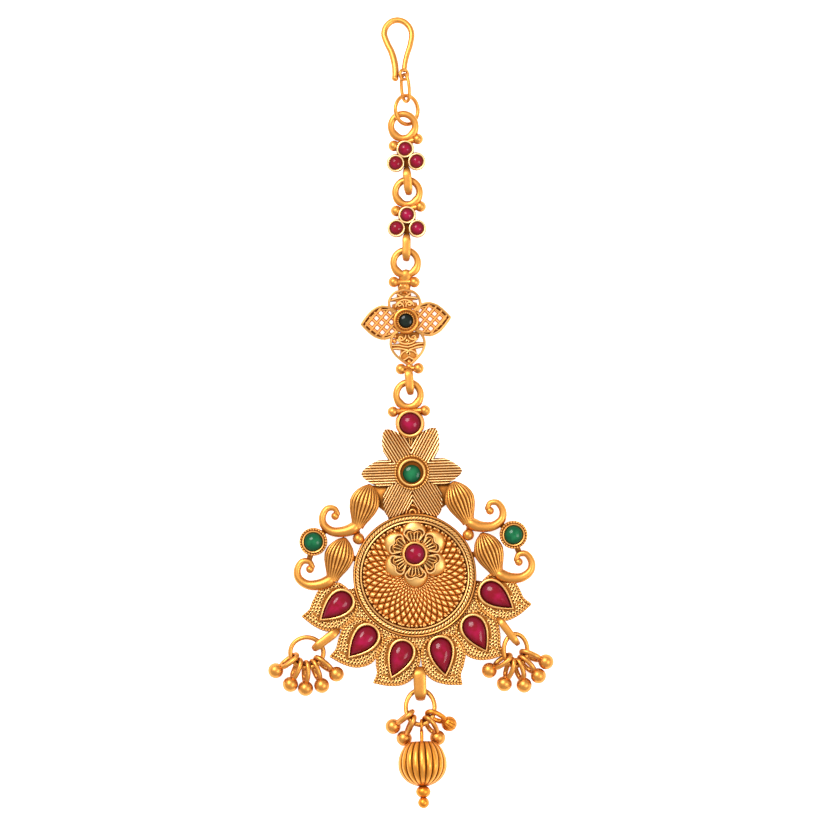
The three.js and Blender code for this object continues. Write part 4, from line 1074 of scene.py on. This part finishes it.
def scrolled_bud():
    """A ribbed bud that runs down into a smooth tail, which curls up to a small bulb."""
    ribs = bpy.context.scene.tikka_relief.bud_ribs
    root, foot = np.array(BUD_ROOT), np.array(BUD_FOOT)
    along = (foot - root) / np.linalg.norm(foot - root)
    across = np.array([-along[1], along[0]])
    per = 6
    top = np.linspace(0, np.pi, ribs * per + 1)
    bottom = np.linspace(np.pi, 2 * np.pi, 9)[1:-1]
    angle = np.concatenate([top, bottom])
    stops = np.linspace(-0.06, 1.0, 34)
    halves = np.interp(stops, *zip(*BUD_HALF))
    halves = np.convolve(np.pad(halves, 1, mode="edge"), [0.25, 0.5, 0.25], mode="valid")
    rings, depth = [], []
    for share, half in zip(stops, halves):
        centre = root + (foot - root) * share
        fade = max(0.0, min(1.0, (1.04 - share) / 0.3)) * max(0.0, min(1.0, (share + 0.06) / 0.1))
        ring, row = [], []
        for i, a in enumerate(angle):
            rib = 0.0
            if i < len(top):
                rib = 0.5 - 0.5 * math.cos(2 * math.pi * (i % per) / per) if i % per else 0.0
            reach = half * (1 - 0.1 * fade * (1 - rib) ** 1.3) if i < len(top) else half * 0.985
            spot = centre + across * reach * math.cos(a)
            ring.append((*spot, BUD_LEVEL + (0.6 + 0.3 * max(0.0, share - 0.6) / 0.4) * reach * math.sin(a)))
            # Between the ribs the wash deepens to painted shade; the rib crests are rubbed, with a painted
            # highlight.
            row.append(fade * (1.35 * (1 - rib) ** 1.3 - 0.35 * rib ** 2) if i < len(top) else 0.3)
        rings.append(ring)
        depth.append(row)
    line = smooth_line(TAIL, 46)
    tail = swept(flat_path(line, BUD_LEVEL), line[:, 2], 16)
    return [skin_of_rings(rings, np.array(depth)), tail, ball(0.68, -12.75, 10.2, BUD_LEVEL, 22)]


def buds():
    casting = Casting(PENDANT)
    mirror = Matrix.Scale(-1, 4, (1, 0, 0))
    for shift in ((0, 0), (-4.45, -8.6)):
        for side in (Matrix.Identity(4), mirror):
            for shape in scrolled_bud():
                casting.add(shape, side @ place(*shift))
    struts = [((-16.5, 6.1), (-14.1, 8.2)), ((-16.6, 5.2), (-17.4, 2.9)), ((-9.4, 3), (-11.6, 3.4)),
              ((-9.1, 6.4), (-9.3, 7.8))]
    for first, last in struts:
        run = np.array([(*first, 0.8), (*last, 0.8)])
        for side in (Matrix.Identity(4), mirror):
            casting.add(swept(smooth_line(run, 4), 0.5, 10, groove=0.6), side)
    for side in (1, -1):
        casting.add(ball(0.97, 9.05 * side, 6.35, CHAIN_LEVEL, 28))
    yoke = [(-6.5, 15), (-6, 11.8), (-4.2, 10.3), (-3.9, 8.6), (3.9, 8.6), (4.2, 10.3), (6, 11.8), (6.5, 15)]
    casting.add(terraced(np.array(yoke), [(0, 0, 0.6), (0, 0.8, 0.6), (0.1, 0.9, 0.6)]))
    # The plate under the arches is darkened, deepening to painted shade between them.
    casting.add(terraced(np.array([(-2.4, 9.6), (2.4, 9.6), (0, 13.4)]), [(0, 0.8, 0.9), (0, 0.94, 1.1)]))
    for reach in (0.5, 1.1, 1.7):
        arch = [(-reach, 10.2, 1.0), (-0.8 * reach, 10.2 + 0.8 * reach, 1.05), (0, 10.2 + 1.25 * reach, 1.1),
                (0.8 * reach, 10.2 + 0.8 * reach, 1.05), (reach, 10.2, 1.0)]
        casting.add(swept(smooth_line(arch, 20), 0.2, 8, groove=-0.3))
    return casting


# Degrees round the disc, heading of the pear's tip and side of each leaf
LEAVES = [(199.7, 218.4, 1), (229.6, 227.1, 1), (257.5, 245.4, 1),
          (286.8, 278.1, -1), (314.9, 296.7, -1), (343.6, 321.0, -1)]
LEAF_OUTLINE = [
    (-2.4, -5.35), (0.28, -4.74), (2.2, -3.7), (3.38, -1.98), (3.52, -0.2), (3.06, 1.85),
    (1.92, 3.1), (-0.09, 3.5), (-2.75, 2.9), (-3.95, 0.4), (-3.25, -2.1), (-2.45, -3.7),
]


def pear(offset):
    """A pear outline with its tip on -Y, counterclockwise, grown all round by an offset."""
    angle = np.linspace(0, 2 * np.pi, PEAR_POINTS, endpoint=False)
    x = 1.3 * (1.8 + offset) * np.sin(angle) * np.sin(angle / 2)
    y = -(3.05 + offset) * np.cos(angle)
    return np.column_stack([x, y])


def leaf_place(around, tip, side):
    angle = math.radians(around)
    flip = Matrix.Scale(-1, 4, (1, 0, 0)) if side < 0 else Matrix.Identity(4)
    return place(LEAF_REACH * math.cos(angle), LEAF_REACH * math.sin(angle), turn=tip + 90) @ flip


def mango_leaf():
    """A leaf plate with a rope border, rows of circlets and a smooth bezel round the pear's seat."""
    pitch = bpy.context.scene.tikka_relief.circlet_pitch / MM
    outline = smooth_line(LEAF_OUTLINE + [LEAF_OUTLINE[0]], 150)[:-1]
    centre = outline.mean(0)
    border = centre + (outline - centre) * 0.955
    shapes = [terraced(outline, [(0, 0, 0.2), (0, 1.1, 0.1), (0.05, 1.42, 0.2), (0.12, 1.48, 0.55)])]
    shapes.append(wrapped_rope(flat_path(border, 1.58), 0.25, 0.5))
    wall = pear(0.5)
    kept = []

    def keep(x, y, margin):
        if np.hypot(outline[:, 0] - x, outline[:, 1] - y).min() < margin or not inside(outline, x, y):
            return
        if inside(wall, x, y) or np.hypot(wall[:, 0] - x, wall[:, 1] - y).min() < 0.22:
            return
        if all(math.hypot(x - a, y - b) >= 0.9 * pitch for a, b in kept):
            kept.append((x, y))

    for row in range(int(3.4 / pitch)):
        reach = 0.66 + 0.9 * pitch * row
        ring = inset_outline(outline, reach)
        steps = np.concatenate([[0], np.cumsum(np.linalg.norm(np.diff(ring, axis=0), axis=1))])
        for stop in np.arange(0, steps[-1], pitch):
            keep(*(float(np.interp(stop, steps, ring[:, k])) for k in (0, 1)), reach - 0.04)
    for x in np.arange(-3.4, 3.6, 0.15):
        for y in np.arange(-5.4, 3.6, 0.15):
            keep(x, y, 0.6)
    # Each circlet rings a dark spot of painted shade.
    for x, y in kept:
        shapes.extend(dark_eye(0.225, 0.075, x, y, 1.54, 9))
    ring_sizes = [(0.5, 0.5, 0.4), (0.51, 1.5, 0.8), (0.5, 1.9, 0.1), (0.45, 2.15, -0.3), (0.34, 2.31, -0.8),
                  (0.2, 2.36, -0.8), (0.08, 2.32, -0.5), (0.0, 2.2, 0.1), (-0.06, 2.05, 0.7), (0.0, 1.4, 1.0)]
    rings = [flat_path(pear(offset), z) for offset, z, _ in ring_sizes]
    depth = np.array([np.full(PEAR_POINTS, groove) for _, _, groove in ring_sizes])
    shapes.append(skin_of_rings(rings, depth))
    return shapes


def leaves():
    casting = Casting(PENDANT)
    shapes = mango_leaf()
    for i, spot in enumerate(LEAVES):
        casting.add(shapes, place(z=0.14 * (i % 2)) @ leaf_place(*spot))
    return casting


def pear_stone(spot):
    around, tip, _ = spot
    seat, rim, crown = 1.5, 2.0, 3.05
    steps = np.radians([0, 12, 25, 38, 50, 62, 72, 80, 86])
    rings = [flat_path(pear(-0.03) * 0.98, seat), flat_path(pear(-0.03), seat + 0.06)]
    depth = [np.ones(PEAR_POINTS), np.ones(PEAR_POINTS)]
    for a in steps:
        height = rim - 0.25 + (crown - rim + 0.25) * math.sin(a)
        rings.append(flat_path(pear(-0.03) * math.cos(a) ** 0.9, height))
        # The groove mask rises towards the girdle, where the glass finish paints shade.
        depth.append(np.full(PEAR_POINTS, math.cos(a) ** 2))
    return Casting(PENDANT).add(skin_of_rings(rings, np.array(depth)), leaf_place(around, tip, 1))


def settings_and_bails():
    casting = Casting(PENDANT)
    bore, wall, base, seat, rim, _ = TOP_SETTING
    casting.add(cup(bore, wall, base, seat, rim, lip=0.18, sides=56), place(*TOP_AT))
    casting.add(wrapped_rope(oval(2.3, 2.3, 72), 0.14, 0.36), place(*TOP_AT, 1.5))
    bore, _, base, seat, rim, _ = SIDE_SETTING
    for side in (1, -1):
        at = place(side * SIDE_AT[0], SIDE_AT[1])
        casting.add(cup(bore, 0.24, base, seat, rim, lip=0.14, sides=56), at)
        casting.add(lathe([(1.7, base), (2.2, base), (2.3, base + 0.1), (2.3, 1.8, 0.2), (2.22, 2.0, 0.5),
                           (1.8, 2.05, 0.9)], 56), at)
        casting.add(wrapped_rope(oval(2.1, 2.1, 90), 0.23, 0.45, flat=1.0), at @ place(z=2.1))
    casting.add(head_ring(0, 29.77))
    casting.add(cross_bar((-2.65, 27.05), (2.65, 27.05)))
    for x, y, heading, length, width, strap in (
            (0.25, -15.0, 270, 5.7, 2.1, 0.6), (-12.7, -8.45, 215.2, 5.6, 1.45, 0.55),
            (13.4, -7.35, 305, 5.8, 1.25, 0.5)):
        shape, stand = strap_bail(x, y, heading, length, width, strap)
        casting.add(shape, stand)
    return casting


# Drops

BALL_RADIUS = 1.27

# Degrees round the ring, heading and reach of each drop
CLUSTERS = {
    "left": [(205, 216, 3.3), (238, 248, 3.4), (268, 268, 3.45), (297, 291, 3.45), (325, 321, 3.4)],
    "right": [(214, 215, 3.4), (247, 251, 3.4), (283, 287, 3.4), (315, 315, 3.4), (345, 338, 3.4)],
    "foot": [(208, 218, 3.3), (236, 245, 3.5), (305, 299, 3.5), (334, 330, 3.3)],
}


def drop_place(ring_at, half_width, half_length, at, heading, reach):
    """Turns a drop so that its loop stands across the ring's wire and its ball lies on the surface."""
    angle = math.radians(at)
    wire = ring_at @ Vector((half_width * math.cos(angle), half_length * math.sin(angle), 0))
    tangent = Vector((-half_width * math.sin(angle), half_length * math.cos(angle), 0))
    tangent = (ring_at.to_3x3() @ tangent).normalized()
    drop = BALL_RADIUS + REST_PLAY - wire.z
    run = math.sqrt(reach * reach - drop * drop)
    lean = math.radians(heading)
    centre = wire + Vector((run * math.cos(lean), run * math.sin(lean), drop))
    up = (wire - centre).normalized()
    normal = (tangent - up * tangent.dot(up)).normalized()
    side = normal.cross(up)
    matrix = Matrix((normal, up, side)).transposed().to_4x4()
    matrix.translation = centre
    return matrix


def ball_drop(at, ribbed=False):
    wires = bpy.context.scene.tikka_wires
    casting = Casting(at)
    loop = swept(oval(1.6, 0.95, 48, 0.85), wires.drop_wire / MM, 12, True)
    casting.add(loop, Matrix.Translation((0, 2.75, 0)) @ Matrix.Rotation(math.radians(22), 4, "Y") @ ON_EDGE)
    size = wires.drop_ball / MM
    if ribbed:
        steps = np.linspace(-np.pi / 2, np.pi / 2, 19)
        rings, depth = [], []
        for a in steps[1:-1]:
            turn = np.linspace(0, 2 * np.pi, 72, endpoint=False)
            dip = np.abs(np.sin(6 * turn)) ** 0.5
            reach = size * math.cos(a) * (1 - 0.07 * (1 - dip) * math.cos(a))
            level = np.full(72, size * math.sin(a))
            rings.append(np.column_stack([reach * np.cos(turn), level, reach * np.sin(turn)]))
            depth.append(0.75 * (1 - dip) * math.cos(a))
        casting.add(skin_of_rings(np.array(rings)[:, ::-1], np.array(depth)[:, ::-1]))
    else:
        casting.add(ball(size, sides=32))
    collar = lathe([(0.28, -0.16), (0.5, -0.12), (0.56, 0), (0.5, 0.12), (0.28, 0.16)], 20)
    return casting.add(collar, Matrix.Translation((0, 1.2, 0)) @ Matrix.Rotation(math.radians(90), 4, "X"))


MAIN_BEAD = (1.28, -31.0, 4.0)
PIN_EYE = (1.1, -24.62, 3.0)


def main_drop_place():
    centre, eye = Vector(MAIN_BEAD), Vector(PIN_EYE)
    turn = Vector((0, 1, 0)).rotation_difference((eye - centre).normalized()).to_matrix().to_4x4()
    return LAID @ Matrix.Translation(centre) @ turn, (eye - centre).length


def turned_bead(rows, around, flutes, groove_depth):
    """A bored bead round the Y axis from (radius, height, share of the flutes' depth) rows."""
    turn = np.linspace(0, 2 * np.pi, around, endpoint=False)
    lobe = np.abs(np.cos(0.5 * flutes * turn)) if flutes else np.zeros(around)
    dip = lobe ** 0.45 if flutes else np.ones(around)
    rings, depth = [], []
    for radius, height, share in rows:
        reach = radius * (1 - groove_depth * share * (1 - dip))
        rings.append(np.column_stack([reach * np.sin(turn), np.full(around, height), reach * np.cos(turn)]))
        # Flute valleys deepen from antique wash to near-black painted shade; flute crests are rubbed, with a
        # painted highlight.
        depth.append(share * (1.6 * (1 - dip) - 0.5 * dip ** 4))
    for height in (rows[-1][1], rows[0][1]):
        hole = [BEAD_BORE * np.sin(turn), np.full(around, height), BEAD_BORE * np.cos(turn)]
        rings.append(np.column_stack(hole))
        depth.append(np.full(around, 0.9))
    return skin_of_rings(np.array(rings), np.array(depth), closed=True)


def fluted_bead():
    flutes = bpy.context.scene.tikka_relief.flutes
    at, _ = main_drop_place()
    rows = []
    for share in np.linspace(-1, 1, 33):
        narrow = 0.94 if share < 0 else 0.66
        girth = 4.0 * (1 - narrow * share * share) ** 0.5
        height = 3.5 * share if share < 0 else 3.62 * share
        rows.append((min(girth, 3.98), height, min(1.0, (1 + share) / 0.1)))
    rows = [(rows[0][0] - 0.3, -3.5, 0.0), *rows, (rows[-1][0] - 0.35, 3.7, 0.9), (1.2, 3.4, 0.5)]
    casting = Casting(at).add(turned_bead(rows, flutes * 12, flutes, 0.1))
    ring = swept(oval(0.75, 0.75, 32), 0.2, 10, True, groove=0.4)
    return casting.add(ring, Matrix.Translation((0, 3.4, 0)) @ Matrix.Rotation(math.radians(90), 4, "X"))


def spacer_bead():
    at, _ = main_drop_place()
    rows = [(1.2 * math.cos(a), 1.04 * math.sin(a), 0) for a in np.radians(np.linspace(-68, 68, 17))]
    return Casting(at).add(turned_bead(rows, 32, 0, 0), Matrix.Translation((0, -4.45, 0)))


def head_pin():
    at, out = main_drop_place()
    casting = Casting(at)
    run = smooth_line(np.array([(0, out - 0.86, 0), (0, -6.25, 0)]), 12)
    casting.add(swept(run, 0.3, 14))
    eye = swept(oval(0.86, 0.86, 40), 0.24, 10, True)
    casting.add(eye, Matrix.Translation((0, out, 0)) @ Matrix.Rotation(math.radians(90), 4, "Y"))
    return casting.add(ball(0.93, 0, -6.25, 0, 28))


# Operators, one for each piece or group of like pieces

class TIKKA_OT_hair_hook(bpy.types.Operator):
    """Bends the hair hook with its eye and bulbed tip"""
    bl_idname = "tikka.hair_hook"
    bl_label = "Hair hook"

    def execute(self, context):
        hair_hook().lay("hook", antique_gold(), GOLD_SLOT, ["hair_hook"])
        return {"FINISHED"}


class TIKKA_OT_wire_rings(bpy.types.Operator):
    """Closes the hook's link and the jump rings"""
    bl_idname = "tikka.wire_rings"
    bl_label = "Wire rings"

    def execute(self, context):
        for name, sizes in WIRE_RINGS.items():
            wire_ring(**sizes)[0].lay(name + "_wire", antique_gold(), GOLD_SLOT, [name])
        return {"FINISHED"}


class TIKKA_OT_trefoil_links(bpy.types.Operator):
    """Casts the two trefoil links and sets three small rubies in each"""
    bl_idname = "tikka.trefoil_links"
    bl_label = "Trefoil links"

    def execute(self, context):
        ruby = ruby_glass()
        for name, (x, y, turn, rise) in TREFOIL_PLACES.items():
            at = LAID @ place(x, y, rise, turn=turn, tilt=math.degrees(math.asin(rise / TREFOIL_LENGTH)))
            trefoil_link(at).lay("trefoil_" + name, antique_gold(), GOLD_SLOT, ["trefoil_link_" + name])
            for side, (across, along) in TREFOIL_STONES.items():
                stone = Casting(at).add(stone_in(SMALL_SETTING), place(across, along))
                stone.lay(f"small_ruby_{name}_{side}", ruby, RUBY_SLOT, [f"trefoil_ruby_{name}_{side}"])
        return {"FINISHED"}


class TIKKA_OT_pierced_link(bpy.types.Operator):
    """Casts the pierced link with its four petals and dark stone"""
    bl_idname = "tikka.pierced_link"
    bl_label = "Pierced link"

    def execute(self, context):
        casting = pierced_link()
        casting.lay("pierced_flower", antique_gold(), GOLD_SLOT, ["pierced_link"])
        dark = glass_stone("dark_glass", context.scene.tikka_finishes.dark, DARK_GLOW)
        stone = Casting(casting.at).add(stone_in(DARK_SETTING))
        stone.lay("dark_stone", dark, DARK_SLOT, ["pierced_link_stone"])
        return {"FINISHED"}


class TIKKA_OT_disc(bpy.types.Operator):
    """Turns the disc with its rope rim and chases its scales"""
    bl_idname = "tikka.disc"
    bl_label = "Disc and scales"

    def execute(self, context):
        rim_and_collar().lay("disc_rim", antique_gold(), GOLD_SLOT, ["pendant_frame"])
        Casting(PENDANT).add(scale_field()).lay("disc_scales", antique_gold(), GOLD_SLOT, [], crease=60)
        return {"FINISHED"}


class TIKKA_OT_flower(bpy.types.Operator):
    """Raises the disc's flower with its stamens and collet"""
    bl_idname = "tikka.flower"
    bl_label = "Flower"

    def execute(self, context):
        disc_flower().lay("disc_flower", antique_gold(), GOLD_SLOT, ["pendant_frame"])
        return {"FINISHED"}


class TIKKA_OT_star(bpy.types.Operator):
    """Raises the star of six ridged petals"""
    bl_idname = "tikka.star"
    bl_label = "Star"

    def execute(self, context):
        star().lay("ridged_star", antique_gold(), GOLD_SLOT, ["pendant_frame"], crease=60)
        return {"FINISHED"}


class TIKKA_OT_buds(bpy.types.Operator):
    """Models the four ribbed buds with scrolled tails"""
    bl_idname = "tikka.buds"
    bl_label = "Scrolled buds"

    def execute(self, context):
        buds().lay("scrolled_buds", antique_gold(), GOLD_SLOT, ["pendant_frame"], crease=60)
        return {"FINISHED"}


class TIKKA_OT_leaves(bpy.types.Operator):
    """Lays the six mango leaves with circlets and pear bezels"""
    bl_idname = "tikka.leaves"
    bl_label = "Mango leaves"

    def execute(self, context):
        leaves().lay("mango_leaves", antique_gold(), GOLD_SLOT, ["pendant_frame"])
        return {"FINISHED"}


class TIKKA_OT_settings(bpy.types.Operator):
    """Solders the pendant's collets, head ring, balls and bails"""
    bl_idname = "tikka.settings"
    bl_label = "Settings and bails"

    def execute(self, context):
        settings_and_bails().lay("settings_and_bails", antique_gold(), GOLD_SLOT, ["pendant_frame"])
        return {"FINISHED"}


class TIKKA_OT_stones(bpy.types.Operator):
    """Sets the pendant's rubies and emeralds"""
    bl_idname = "tikka.stones"
    bl_label = "Stones"

    def execute(self, context):
        ruby = ruby_glass()
        emerald = glass_stone("emerald_glass", context.scene.tikka_finishes.emerald, EMERALD_GLOW)
        star_spot = (STAR_AT[0], STAR_AT[1] - 0.22)
        left_spot = (-SIDE_AT[0], SIDE_AT[1])
        round_stones = [
            ("ruby_top", TOP_SETTING, None, TOP_AT, ruby, RUBY_SLOT, "top_ruby"),
            ("emerald_star", STAR_SETTING, 1.5, star_spot, emerald, EMERALD_SLOT, "star_emerald"),
            ("ruby_flower", FLOWER_SETTING, None, FLOWER_AT, ruby, RUBY_SLOT, "flower_ruby"),
            ("emerald_left", SIDE_SETTING, None, left_spot, emerald, EMERALD_SLOT, "side_emerald_left"),
            ("emerald_right", SIDE_SETTING, None, SIDE_AT, emerald, EMERALD_SLOT, "side_emerald_right"),
        ]
        for name, setting, radius, spot, material, slot, node in round_stones:
            Casting(PENDANT).add(stone_in(setting, radius), place(*spot)).lay(name, material, slot, [node])
        for i, spot in enumerate(LEAVES, 1):
            pear_stone(spot).lay(f"ruby_pear_{i}", ruby, RUBY_SLOT, [f"pear_ruby_{i}"])
        return {"FINISHED"}


class TIKKA_OT_ball_drops(bpy.types.Operator):
    """Hangs the ball drops on the three jump rings"""
    bl_idname = "tikka.ball_drops"
    bl_label = "Ball drops"

    def execute(self, context):
        for name, drops in CLUSTERS.items():
            sizes = WIRE_RINGS[name + "_jump_ring"]
            ring_at = wire_ring(**sizes)[1]
            for i, (at, heading, reach) in enumerate(drops, 1):
                spot = drop_place(ring_at, sizes["half_width"], sizes["half_length"], at, heading, reach)
                outer = name == "foot" and i == len(drops)
                ball_drop(spot, ribbed=outer).lay(
                    f"drop_{name}_{i}", copper_gold() if outer else antique_gold(), GOLD_SLOT,
                    [f"{name}_ball_drop_{i}"])
        return {"FINISHED"}


class TIKKA_OT_main_drop(bpy.types.Operator):
    """Strings the fluted bead and spacer on the ball-headed pin"""
    bl_idname = "tikka.main_drop"
    bl_label = "Main drop"

    def execute(self, context):
        fluted_bead().lay("bead_fluted", copper_gold(), GOLD_SLOT, ["fluted_bead"], crease=60)
        spacer_bead().lay("bead_spacer", copper_gold(), GOLD_SLOT, ["spacer_bead"])
        head_pin().lay("pin_with_head", copper_gold(), GOLD_SLOT, ["head_pin"])
        return {"FINISHED"}


class TIKKA_OT_studio(bpy.types.Operator):
    """Lays the pale floor, hangs the soft lights and sets the camera straight above"""
    bl_idname = "tikka.studio"
    bl_label = "Studio"

    def execute(self, context):
        studio = context.scene.tikka_studio
        floor = bpy.data.meshes.new("floor")
        floor.from_pydata([(-3, -3, 0), (3, -3, 0), (3, 3, 0), (-3, 3, 0)], [], [(0, 1, 2, 3)])
        card = Finish("floor_card")
        floor.materials.append(card.set(
            Base_Color=tuple(studio.floor), Roughness=0.9, Emission_Color=(1, 1, 1),
            Emission_Strength=studio.floor_glow))
        board = bpy.data.objects.new("floor", floor)
        board.location.z = -0.00002
        context.scene.collection.objects.link(board)
        world = context.scene.world or bpy.data.worlds.new("studio")
        context.scene.world = world
        world.use_nodes = True
        back = world.node_tree.nodes["Background"]
        back.inputs["Color"].default_value = (1, 1, 1, 1)
        back.inputs["Strength"].default_value = studio.sky
        for name, spot, size, power in (
                ("key", (-0.25, 0.35, 0.6), 0.35, studio.key),
                ("fill", (0.4, -0.1, 0.5), 0.3, 0.35 * studio.key)):
            lamp = bpy.data.lights.new(name, "AREA")
            lamp.shape = "DISK"
            lamp.size = size
            lamp.energy = power
            lit = bpy.data.objects.new(name, lamp)
            lit.location = spot
            lit.rotation_euler = (Vector(spot)).to_track_quat("Z", "Y").to_euler()
            context.scene.collection.objects.link(lit)
        lens = bpy.data.cameras.new("camera")
        lens.lens = lens.sensor_width * studio.camera_height / studio.view_width
        lens.clip_start = 0.01
        camera = bpy.data.objects.new("camera", lens)
        camera.location = (*CAMERA_AT, studio.camera_height)
        context.scene.collection.objects.link(camera)
        context.scene.camera = camera
        context.scene.view_settings.view_transform = "Standard"
        return {"FINISHED"}


class TIKKA_PT_sidebar(bpy.types.Panel):
    """Lists the makers of the tikka's pieces"""
    bl_idname = "TIKKA_PT_sidebar"
    bl_label = "Maang tikka"
    bl_space_type = "VIEW_3D"
    bl_region_type = "UI"
    bl_category = "Tikka"

    def draw(self, context):
        scene = context.scene
        for group in (scene.tikka_wires, scene.tikka_relief, scene.tikka_finishes, scene.tikka_studio):
            box = self.layout.box()
            for name in group.__annotations__:
                box.prop(group, name)
        column = self.layout.column()
        for maker in MAKERS:
            column.operator(maker.bl_idname)


GROUPS = {"tikka_wires": TikkaWires, "tikka_relief": TikkaRelief, "tikka_finishes": TikkaFinishes,
          "tikka_studio": TikkaStudio}
MAKERS = (TIKKA_OT_hair_hook, TIKKA_OT_wire_rings, TIKKA_OT_trefoil_links, TIKKA_OT_pierced_link,
          TIKKA_OT_disc, TIKKA_OT_flower, TIKKA_OT_star, TIKKA_OT_buds, TIKKA_OT_leaves, TIKKA_OT_settings,
          TIKKA_OT_stones, TIKKA_OT_ball_drops, TIKKA_OT_main_drop, TIKKA_OT_studio)


def register():
    for group in (*GROUPS.values(), *MAKERS, TIKKA_PT_sidebar):
        bpy.utils.register_class(group)
    for name, group in GROUPS.items():
        setattr(bpy.types.Scene, name, PointerProperty(type=group))


def unregister():
    for name in GROUPS:
        delattr(bpy.types.Scene, name)
    for group in (TIKKA_PT_sidebar, *reversed(MAKERS), *reversed(list(GROUPS.values()))):
        bpy.utils.unregister_class(group)


def main():
    register()
    for maker in MAKERS:
        getattr(bpy.ops.tikka, maker.bl_idname.split(".")[1])()
    bpy.context.view_layer.update()


if __name__ == "__main__":
    main()
